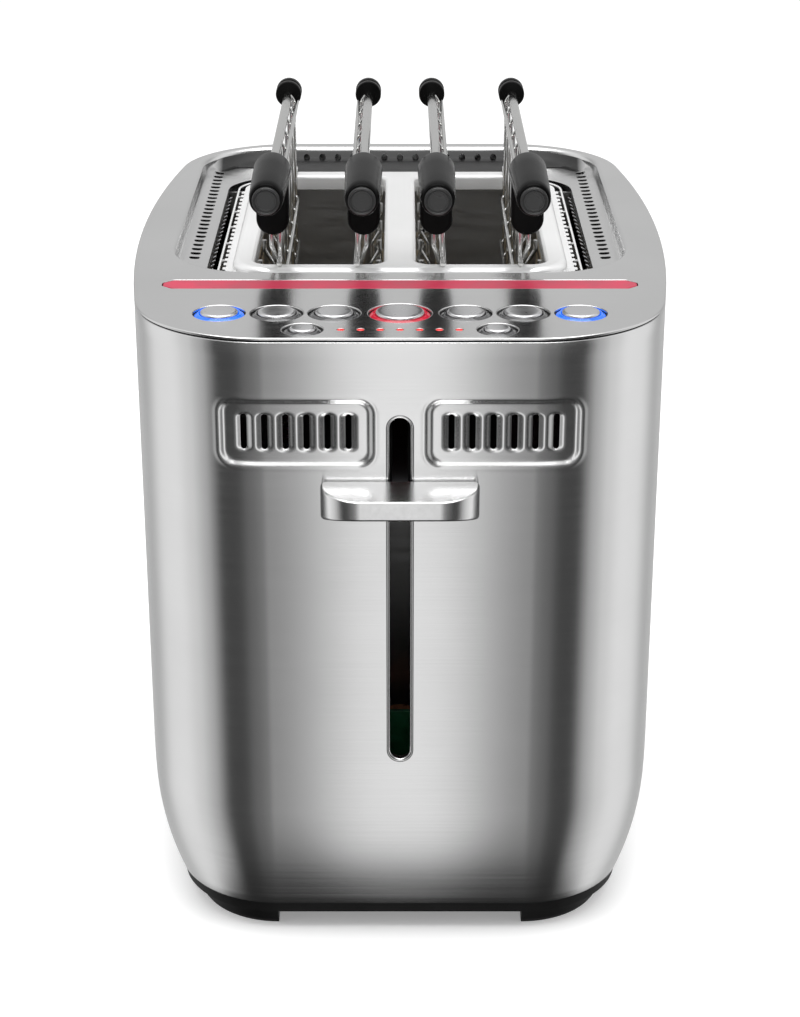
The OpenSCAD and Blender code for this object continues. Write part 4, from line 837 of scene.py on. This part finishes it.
def make_back_painted_shade():
    """Black sheet of painted shade and painted dark reflection over the recess's back wall and floor, which
    runs out into the steel around both corners.
    """
    points, normals = recess_outline()
    rear = -normals[:, 1] > 0.2
    points, normals = points[rear], normals[rear]
    fade = smooth_step(-normals[:, 1], 0.15, 0.6)
    s = Shape()
    lines = []

    def add_line(x, y, rise):
        lines.append(s.add(np.stack([x, y, RECESS_Z + BACK_SHADE_LIFT + rise * fade], 1)))

    for inset, rise in ((0.15, 0), (0.15, 4.2), (1.0, 3.3), (2.2, 1.8), (4.2, 0.8)):
        x, y = drawn_in((points, normals), -inset * np.maximum(fade, 0.5)).T
        add_line(x, y, rise)
    back = BACK_SHADE_BACK * smooth_step(np.abs(x), BACK_SHADE_TURN, BACK_SHADE_END)
    front = np.minimum(BACK_SHADE_Y + back, y - 0.3)
    add_line(x, front, 0.25)
    add_line(x, front, 0.0)
    for i, line in enumerate(lines):
        s.bridge(lines[i - 1], line, False)
    s.faces += [tuple(line[0] for line in lines), tuple(line[-1] for line in lines)]
    obj = to_mesh("back_painted_shade", s)
    cut(obj, back_holes())
    return obj


def make_plate():
    """Plate with two slots, on a flange with a toothed strip and a bead."""
    s = Shape()
    turns = angles(90, 0, 7)
    roll = [(PLATE_ROLL * (1 - sin(t)), SEAM - PLATE_ROLL * (1 - cos(t))) for t in turns]
    edge = PLATE_SKIRT + roll + [(PLATE_ROLL + 0.15, SEAM)]
    loops = [(rounded(0, PLATE_CY, PLATE_W, PLATE_L, PLATE_R, 16), edge)]
    slot_edge = round_edge(PLATE_LOW, SEAM, 1.3, 0.3, 6, 0.12)
    for x in (-SLOT_X, SLOT_X):
        loops.append((hole(rounded(x, SLOT_CY, SLOT_W, SLOT_L, SLOT_R, 12)), slot_edge))
    s.sheet(loops)

    x1 = PLATE_W / 2 + FLANGE_OUT
    y0, y1 = PLATE_Y - FLANGE_FRONT, PLATE_Y + PLATE_L + FLANGE_OUT
    cy, length = (y0 + y1) / 2, y1 - y0
    rim = rounded(0, cy, 2 * x1, length, PLATE_R, 16)
    strip = rounded(0, cy, 2 * x1 - 2 * STRIP_IN, length - 2 * STRIP_END, PLATE_R - STRIP_IN, 16)
    inner = rounded(0, PLATE_CY, PLATE_W - 1, PLATE_L - 1, PLATE_R - 0.5, 16)
    s.slab([(strip, 0.1, 0.1), (hole(inner), 0, 0)], FLANGE_Z + 0.6, FLANGE_Z + 1, steps=3, guard=0.05)
    for side in (-1, 1):
        for i in range(TOOTH_FIRST, TOOTH_LAST):
            tooth = rounded(side * (x1 - TOOTH_IN), band_y(i), TOOTH_W, TOOTH_L, 0.5, 3)
            s.slab([(tooth, 0.08, 0)], FLANGE_Z + 0.62, FLANGE_Z + 0.98)
            if i % TIE_STEP == 0:
                tie = rounded(side * (x1 - TIE_IN), band_y(i), TIE_W, TIE_L, 0.3, 3)
                s.slab([(tie, 0, 0)], FLANGE_Z + 0.2, FLANGE_Z + 0.7)
    s.tube([(x, y, FLANGE_Z + 0.7) for x, y in drawn_in(rim, BEAD_R)], BEAD_R, 12, True)
    return to_mesh("slot_plate_top", s)


def make_skirts():
    """Slit walls below the inner edges of the recess floor, with a rib after each slit."""
    s = Shape()
    edge = OPEN_W / 2
    for side in (-1, 1):
        loops = [(rounded(WALL_CY, WALL_Z, WALL_L, WALL_H, 0.8, 3), 0, 0)]
        for i in range(WALL_FIRST, WALL_LAST):
            y = band_y(i)
            loops.append((hole(rounded(y, WALL_SLIT_Z, WALL_SLIT_W, WALL_SLIT_H, 0.6, 3)), 0, 0))
            middle = y + BAND_PITCH / 2
            s.tube([(side * (edge + RIB_IN), middle - RIB_LEAN, RIB_Z),
                    (side * (edge - RIB_OUT), middle + RIB_LEAN, RIB_Z + RIB_RISE)], RIB_R, 8)
        s.slab(loops, edge, edge + WALL_T, lambda p, d, side=side: (side * d, p[0], p[1]))
    return to_mesh("vent_skirts", s)


# Controls

def make_buttons():
    """Caps with rolled edges, each with a hidden flange and a stud over its switch."""
    for name, x, y, d in BUTTONS:
        r, flange = d / 2 - RING_W - CAP_GAP, SKIRT_Z + 1.2
        profile = [(0, STUD_Z), (1.8, STUD_Z), (2.0, STUD_Z + 0.2), (2.0, SKIRT_Z), (r + 0.8, SKIRT_Z),
                   (r + 0.8, flange), (r, flange), (r, CAP_Z - 0.95), (r - 0.04, CAP_Z - 0.68),
                   (r - 0.18, CAP_Z - 0.42), (r - 0.42, CAP_Z - 0.24), (r - 0.75, CAP_Z - 0.14),
                   (0.75 * r, CAP_Z - 0.09), (0.45 * r, CAP_Z - 0.03), (0, CAP_Z)]
        s = Shape()
        s.lathe(profile, upright(x, y), 64)
        node = "button_" + name
        piece(to_mesh("cap_" + name, s), "body_" + node, "button_silver", node)


def make_rings():
    """Rings around the buttons, and black sheets of painted shade below the panel's gaps and in the seam."""
    kinds = [("blue_light_rings", "ring_blue", (3, 6)), ("red_light_ring", "ring_red", (0,)),
             ("plain_rings", "ring_grey", (1, 2, 4, 5)), ("small_rings", "ring_grey", (7, 8))]
    gap_shade = Shape()
    for node, slot, members in kinds:
        s = Shape()
        for i in members:
            _, x, y, d = BUTTONS[i]
            outer, inner, edge, top = d / 2 - 0.4, d / 2 - RING_W, d / 2 + 0.9, COVER_Z
            s.loop_lathe([(outer, RING_LOW), (outer, top - 1.0), (outer - 0.12, top - 0.72),
                          (outer - 0.5, top - 0.5), (inner + 0.75, top - 0.2), (inner + 0.55, top + 0.02),
                          (inner + 0.25, top + 0.06), (inner + 0.05, top - 0.08), (inner, top - 0.4),
                          (inner, RING_LOW)], upright(x, y), 64)
            # Black well of painted shade below the gap between the panel's hole and the ring
            gap_shade.loop_lathe([(edge, GAP_SHADE_LOW), (edge, SEAM - 0.05), (outer - 0.3, SEAM - 0.25),
                              (outer - 0.3, GAP_SHADE_LOW)], upright(x, y), 64)
        piece(to_mesh(node + "_lens", s), "housing", slot, node)
    rim = body_outline()
    # Painted shade: black sheet in the seam under the cover's edge, so that the groove reads as a shadow line
    seam = [((drawn_in(rim, 0.6), rim[1]), 0, 0), (hole((drawn_in(rim, 3.0), rim[1])), 0, 0)]
    gap_shade.slab(seam, SEAM - 1.6, SEAM - 0.02)
    # Black trough of painted shade below the gap around the light bar
    trough = [(soft_polygon(bar_corners(1.2), 2.6), 0, 0), (hole(soft_polygon(bar_corners(-0.6), 0.9)), 0, 0)]
    gap_shade.slab(trough, GAP_SHADE_LOW, SEAM - 0.1)
    piece(to_mesh("control_gap_shade", gap_shade), "housing", "part_dark", finish=MAT["well_black"])


def make_lights():
    """Light bar and the row of indicator lamps."""
    s = Shape()
    s.slab([(soft_polygon(bar_corners(0), 1.5, 6), 0.35, 0)], SEAM - 0.9, COVER_Z, steps=5)
    piece(to_mesh("bar_lens", s), "housing", "red_bar", "light_bar")
    s = Shape()
    r = LAMP_D / 2
    dome = [(r * cos(t), COVER_Z - 0.4 + 0.6 * sin(t)) for t in np.radians([0, 25, 50, 70])]
    for x in spread(LAMPS, LAMP_PITCH):
        s.lathe([(0, LAMP_LOW), (r, LAMP_LOW)] + dome + [(0, COVER_Z + 0.2)], upright(x, LAMP_Y), 24)
    piece(to_mesh("lamp_lenses", s), "housing", "lamp_red", "indicator_lamps")


def make_knob():
    """Lever knob, thicker towards the body, with a sloping underside."""
    s = Shape()
    half, back_r = KNOB_W / 2, KNOB_BACK_R
    corners = joined(
        arc(half - back_r, KNOB_Y1 - back_r, back_r, 0, 90, 5),
        arc(-half + back_r, KNOB_Y1 - back_r, back_r, 90, 180, 5),
        arc(-half + KNOB_R, KNOB_Y0 + KNOB_R, KNOB_R, 180, 270, 20),
        arc(half - KNOB_R, KNOB_Y0 + KNOB_R, KNOB_R, 270, 360, 20))

    def wedge(p, d):
        back = (p[1] - KNOB_Y0) / (KNOB_Y1 - KNOB_Y0)
        top = KNOB_RISE - KNOB_FALL * (1 - back)
        low = KNOB_RISE - KNOB_FALL - KNOB_H - KNOB_DROP * back
        return p[0], p[1], KNOB_Z + low + (top - low) * d / KNOB_H

    s.slab([(corners, 0.7, 0.8)], 0, KNOB_H, wedge, 6)
    piece(to_mesh("knob", s, 50), "carriage", "knob_silver", "lever_knob")


# Cages

def cage_wires(side, half, which):
    """Rod, uprights, rails, hooks, stay and hinge knuckles of a cage's half."""
    s = Shape()
    pitch = (CAGE_Y1 - CAGE_Y0) / (UPRIGHTS - 1)

    def at(x, y, z):
        return side * SLOT_X + half * x, y, z

    def lengthwise(x, y0, y1, z, r, n=12):
        s.tube([at(x, y, z) for y in (y0, WIRE_MID_Y, y1)], r, n)

    lengthwise(ROD_X, GRIP_Y1 - 6, CAP_Y0 + 4, ROD_Z, ROD_D / 2, 20)
    for i in range(UPRIGHTS):
        y = CAGE_Y0 + i * pitch
        path = [at(UPRIGHT_X, y, z) for z in (PIN_Z, 200, STEM_Z + 5)]
        if i > 0:
            path = bent([at(UPRIGHT_X, y, PIN_Z), at(UPRIGHT_X, y, ROD_Z - 1.2),
                         at(UPRIGHT_X + 1.4, y, ROD_Z + 1.0)], 2)
        s.tube(path, WIRE_D / 2)
    lengthwise(RAIL_X, GRIP_Y1 + 1, CAGE_Y1 + 1, ROD_Z - 1.5, WIRE_D / 2)
    for z in RAILS_Z:
        lengthwise(RAIL_X, CAGE_Y0 - 1, CAGE_Y1 + 1, z, WIRE_D / 2)
    for tip, y in ((HOOK_Y0, CAGE_Y0), (HOOK_Y1, CAGE_Y1)):
        hook = ((tip, HOOK_Z), (y, HOOK_Z), (y, HOOK_Z - HOOK_DROP))
        s.tube(bent([at(UPRIGHT_X, u, z) for u, z in hook], 3), HOOK_D / 2)
    s.tube(bent([at(x, CAGE_Y0 + back, z) for x, back, z in STAY], 3), WIRE_D / 2)
    for i in ((1, UPRIGHTS - 2) if which == "frame" else (2, UPRIGHTS - 3)):
        y = CAGE_Y0 + i * pitch
        s.tube([at(x, y, PIN_Z) for x in (UPRIGHT_X + 0.8, 6, 1.8)], HOOK_D / 2)
        s.loop_lathe([(r, y + h) for r, h in KNUCKLE], along_y(side * SLOT_X, PIN_Z), 24)
    return s


def grip(x):
    """Grip around the rod's front end, with the stem that holds the first upright."""
    s = Shape()
    y0, y1, tip, roll = GRIP_Y0, GRIP_Y1, GRIP_TIP_R, GRIP_ROLL
    profile = [(0, y0 + 1.7), (tip - 0.2, y0 + 1.5), (tip + 0.25, y0 + 1.8), (tip + 0.55, y0 + 2.6),
               (tip + 0.8, y0 + 6), (tip + 1.0, y0 + 16), (GRIP_R - 0.15, y1 - 14)]
    turns = angles(0, 90, 6)
    profile += [(GRIP_R - roll * (1 - cos(t)), y1 - roll + roll * sin(t)) for t in turns]
    s.lathe(profile + [(0, y1)], along_y(x, ROD_Z), 48)
    outline = joined(arc(x, STEM_Z + STEM_W / 2, STEM_W / 2, 180, 360, 24),
                     arc(x, ROD_Z, STEM_W / 2, 0, 180, 24))
    s.slab([(outline, 1.2, 1.2)], STEM_Y0, GRIP_Y1 - 0.4, facing, 5)
    return s


def grip_plug(x):
    """Plug in the grip's front end."""
    s = Shape()
    s.lathe([(r, GRIP_Y0 + h) for r, h in PLUG], along_y(x, ROD_Z), 48)
    return s


def rod_cap(x):
    """Cap on the rod's rear end, with a groove around it."""
    s = Shape()
    y0, y1, r = CAP_Y0, CAP_Y1, CAP_R
    s.lathe([(0, y0), (r - 0.9, y0), (r - 0.25, y0 + 0.25), (r, y0 + 0.9), (r, y0 + 2.9), (r - 0.3, y0 + 3.4),
             (r - 0.8, y0 + 3.5), (r - 0.8, y0 + 4.3), (r - 0.3, y0 + 4.4), (r, y0 + 4.9), (r, y1 - 1.6),
             (r - 0.4, y1 - 0.5), (r - 1.4, y1), (0, y1)], along_y(x, ROD_Z), 40)
    return s


def make_cage(side, half, which):
    """Half of a cage; side is its slot and half its side of the slot, each -1 or 1."""
    hand = "left" if side < 0 else "right"
    name, body = hand + "_" + which, hand + ("_cage" if which == "frame" else "_jaw")
    wires = to_mesh(name + "_wires", cage_wires(side, half, which), 50)
    piece(wires, body, "cage_wire", hand + "_cage_" + which)
    x = side * SLOT_X + half * ROD_X
    piece(to_mesh(name + "_handle", grip(x), 45), body, "grip_black", name + "_grip")
    piece(to_mesh(name + "_plug", grip_plug(x), 45), body, "grip_black", finish=MAT["plug_black"])
    piece(to_mesh(name + "_end", rod_cap(x), 45), body, "grip_black", name + "_cap")


def make_guides():
    """Bread guides: rods, and wires that step in below the plate and flare at its rim."""
    for letter, sign, drop in (("a", -1, 0.0), ("b", 1, GUIDE_DROP)):
        low, top = GUIDE_LOW - drop, GUIDE_TOP - drop
        s = Shape()
        for middle in (-SLOT_X, SLOT_X):
            x = middle + sign * GUIDE_X
            for z in (low, top):
                s.tube([(x, y, z) for y in (GUIDE_Y0, WIRE_MID_Y, GUIDE_Y1)], GUIDE_ROD_R, 14)
            for i in range(GUIDE_WIRES):
                y = SLOT_Y0 + GUIDE_MARGIN + i * (SLOT_L - 2 * GUIDE_MARGIN) / (GUIDE_WIRES - 1)
                path = [(middle + sign * u, y, z) for u, z in ((GUIDE_X, low), *GUIDE_BENDS)]
                s.tube(bent(path, 2.5), GUIDE_WIRE_R)
        link = rounded(sign * GUIDE_X, top, LINK_L, LINK_H, 1.0, 4)
        s.slab([(link, 0.3, 0.3)], LINK_Y0, LINK_Y1, facing)
        node = "guide_frames_" + letter
        piece(to_mesh(node + "_wires", s, 45), "guides_" + letter, "guide_wire", node)


def make_spring():
    """Coil between the bracket and the carriage's lug, in the box of the imported spring; the real spring
    stretches as the lever goes down.
    """
    low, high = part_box("lift_spring")
    cx, cy = (low.x + high.x) / 2 / MM, (low.y + high.y) / 2 / MM - FRONT
    z0, z1 = low.z / MM, high.z / MM
    r = (high.x - low.x) / 2 / MM - SPRING_WIRE_R
    count, rise = SPRING_TURNS * SPRING_STEPS, z1 - z0 - 2 * SPRING_END
    path = []
    for i in range(count + 1):
        a = 2 * pi * i / SPRING_STEPS
        path.append((cx + r * cos(a), cy + r * sin(a), z0 + SPRING_END + rise * i / count))
    s = Shape()
    s.tube(path, SPRING_WIRE_R, 8)
    obj = to_mesh("lift_coil", s, 60)
    obj.data.materials.append(MAT["spring_steel"])
    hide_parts("lift_spring")
    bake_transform(obj)


def make_inlet():
    """Bush of the cord inlet."""
    s = Shape()
    s.loop_lathe([(r, BODY_L + h) for r, h in INLET_BUSH], along_y(INLET_X, INLET_Z), 48)
    piece(to_mesh("inlet_bush", s), "housing", "base_black", "cord_inlet")


def keep_node(name, slot):
    """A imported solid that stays, with its finish and softened edges."""
    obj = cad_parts[name]
    obj.data.materials.clear()
    obj.data.materials.append(MAT[slot])
    weld = obj.modifiers.new("weld", "WELD")
    weld.merge_threshold = 1e-6
    mod = obj.modifiers.new("edge", "BEVEL")
    mod.width, mod.segments, mod.limit_method = SOFT_EDGE * MM, 2, "ANGLE"
    mod.angle_limit = radians(40)
    normal = obj.modifiers.new("normal", "WEIGHTED_NORMAL")
    normal.keep_sharp = True


# Stage

def make_floor():
    mesh = bpy.data.meshes.new("floor")
    corners = [(x * FLOOR_HALF, y * FLOOR_HALF, 0) for x, y in ((-1, -1), (1, -1), (1, 1), (-1, 1))]
    mesh.from_pydata(corners, [], [(0, 1, 2, 3)])
    floor = placed("floor", mesh)
    m, b, link = new_material("pale_floor")
    link(two_tone(m, noise(m, three(2.0)), three(0.90), three(0.92)), b.inputs["Base Color"])
    give(b, {"Roughness": 0.9, "Emission Color": (1, 1, 1, 1), "Emission Strength": 0.25})
    floor.data.materials.append(m)
    floor.visible_glossy = False


def make_world():
    """White studio whose walls have darker bands, which shape the steel's reflections."""
    world = bpy.data.worlds.new("studio")
    bpy.context.scene.world = world
    world.use_nodes = True
    nodes, link = world.node_tree.nodes, world.node_tree.links.new
    nodes.clear()
    x, y, height = parted(world, "Generated")

    def turned(colour, grey, start, end):
        """Colour that turns into a grey between two heights."""
        share, mix = nodes.new("ShaderNodeMapRange"), nodes.new("ShaderNodeMix")
        share.interpolation_type, mix.data_type = "SMOOTHSTEP", "RGBA"
        give(share, {1: start, 2: end})
        give(mix, {7: (*three(grey), 1)})
        link(height, share.inputs[0])
        link(share.outputs[0], mix.inputs[0])
        link(colour, mix.inputs[6])
        return mix.outputs[2]

    angle = maths(world, "ARCTAN2", x, maths(world, "MULTIPLY", y, -1.0))
    ramp = nodes.new("ShaderNodeValToRGB")
    ramp.color_ramp.interpolation = "EASE"
    stops = ramp.color_ramp.elements
    while len(stops) < len(WALL_BANDS):
        stops.new(0.5)
    for stop, (at, value) in zip(stops, WALL_BANDS):
        stop.position, stop.color = at, (*three(value), 1)
    link(maths(world, "DIVIDE", maths(world, "ABSOLUTE", angle), pi), ramp.inputs[0])

    room, white = nodes.new("ShaderNodeBackground"), nodes.new("ShaderNodeBackground")
    link(turned(turned(ramp.outputs[0], 1.0, 0.45, 0.85), 0.02, -0.73, -0.87), room.inputs[0])
    give(room, {1: 0.9})
    give(white, {0: (1, 1, 1, 1)})
    path, mix = nodes.new("ShaderNodeLightPath"), nodes.new("ShaderNodeMixShader")
    sources = path.outputs["Is Camera Ray"], room.outputs[0], white.outputs[0]
    for source, socket in zip(sources, mix.inputs):
        link(source, socket)
    link(mix.outputs[0], nodes.new("ShaderNodeOutputWorld").inputs[0])


def make_light(name, place, target, size, watts, seen=False):
    """Softbox; seen says whether it shows in reflections."""
    data = bpy.data.lights.new(name, "AREA")
    data.shape, data.energy = "RECTANGLE", watts
    data.size, data.size_y = size
    obj = placed(name, data)
    obj.location = place
    obj.rotation_euler = (Vector(target) - Vector(place)).to_track_quat("-Z", "Y").to_euler()
    obj.visible_glossy = seen


def make_camera():
    data = bpy.data.cameras.new("camera")
    data.sensor_fit, data.sensor_height, data.lens = "VERTICAL", CAMERA_SENSOR, CAMERA_LENS
    obj = placed("camera", data)
    obj.location = CAMERA_PLACE
    obj.rotation_euler = (radians(90 - CAMERA_PITCH), 0, 0)
    bpy.context.scene.camera = obj


# Scene

piece(make_body(), "housing", "steel_skin", "body_shell")
piece(track_rim(), "housing", "steel_skin", finish=MAT["cover_steel"])
piece(make_cover(), "housing", "cover_steel", "top_cover")
piece(make_skirts(), "housing", "plate_steel", finish=MAT["tray_steel"])
# Painted shade: black sheet over the recess's back wall and rear floor
piece(make_back_painted_shade(), "housing", "part_dark", finish=painted_back_shade("recess_painted_back_shade"))
piece(make_plate(), "housing", "plate_steel", "slot_plate")
make_buttons()
make_rings()
make_lights()
make_knob()
for side in (-1, 1):
    make_cage(side, -1, "frame")
    make_cage(side, 1, "jaw")
make_guides()
make_spring()
make_inlet()
for slot, names in KEPT.items():
    for name in names:
        keep_node(name, slot)

make_floor()
make_world()
make_light("key", (0.0, -0.2, 1.5), (0, 0, 0.15), (1.4, 1.4), 17.0, True)
make_light("left", (-1.2, -0.5, 0.7), (0, 0, 0.12), (0.5, 1.2), 5.0)
make_light("right", (1.2, -0.5, 0.7), (0, 0, 0.12), (0.5, 1.2), 5.0)
make_camera()
bpy.context.scene.view_settings.view_transform = "Standard"
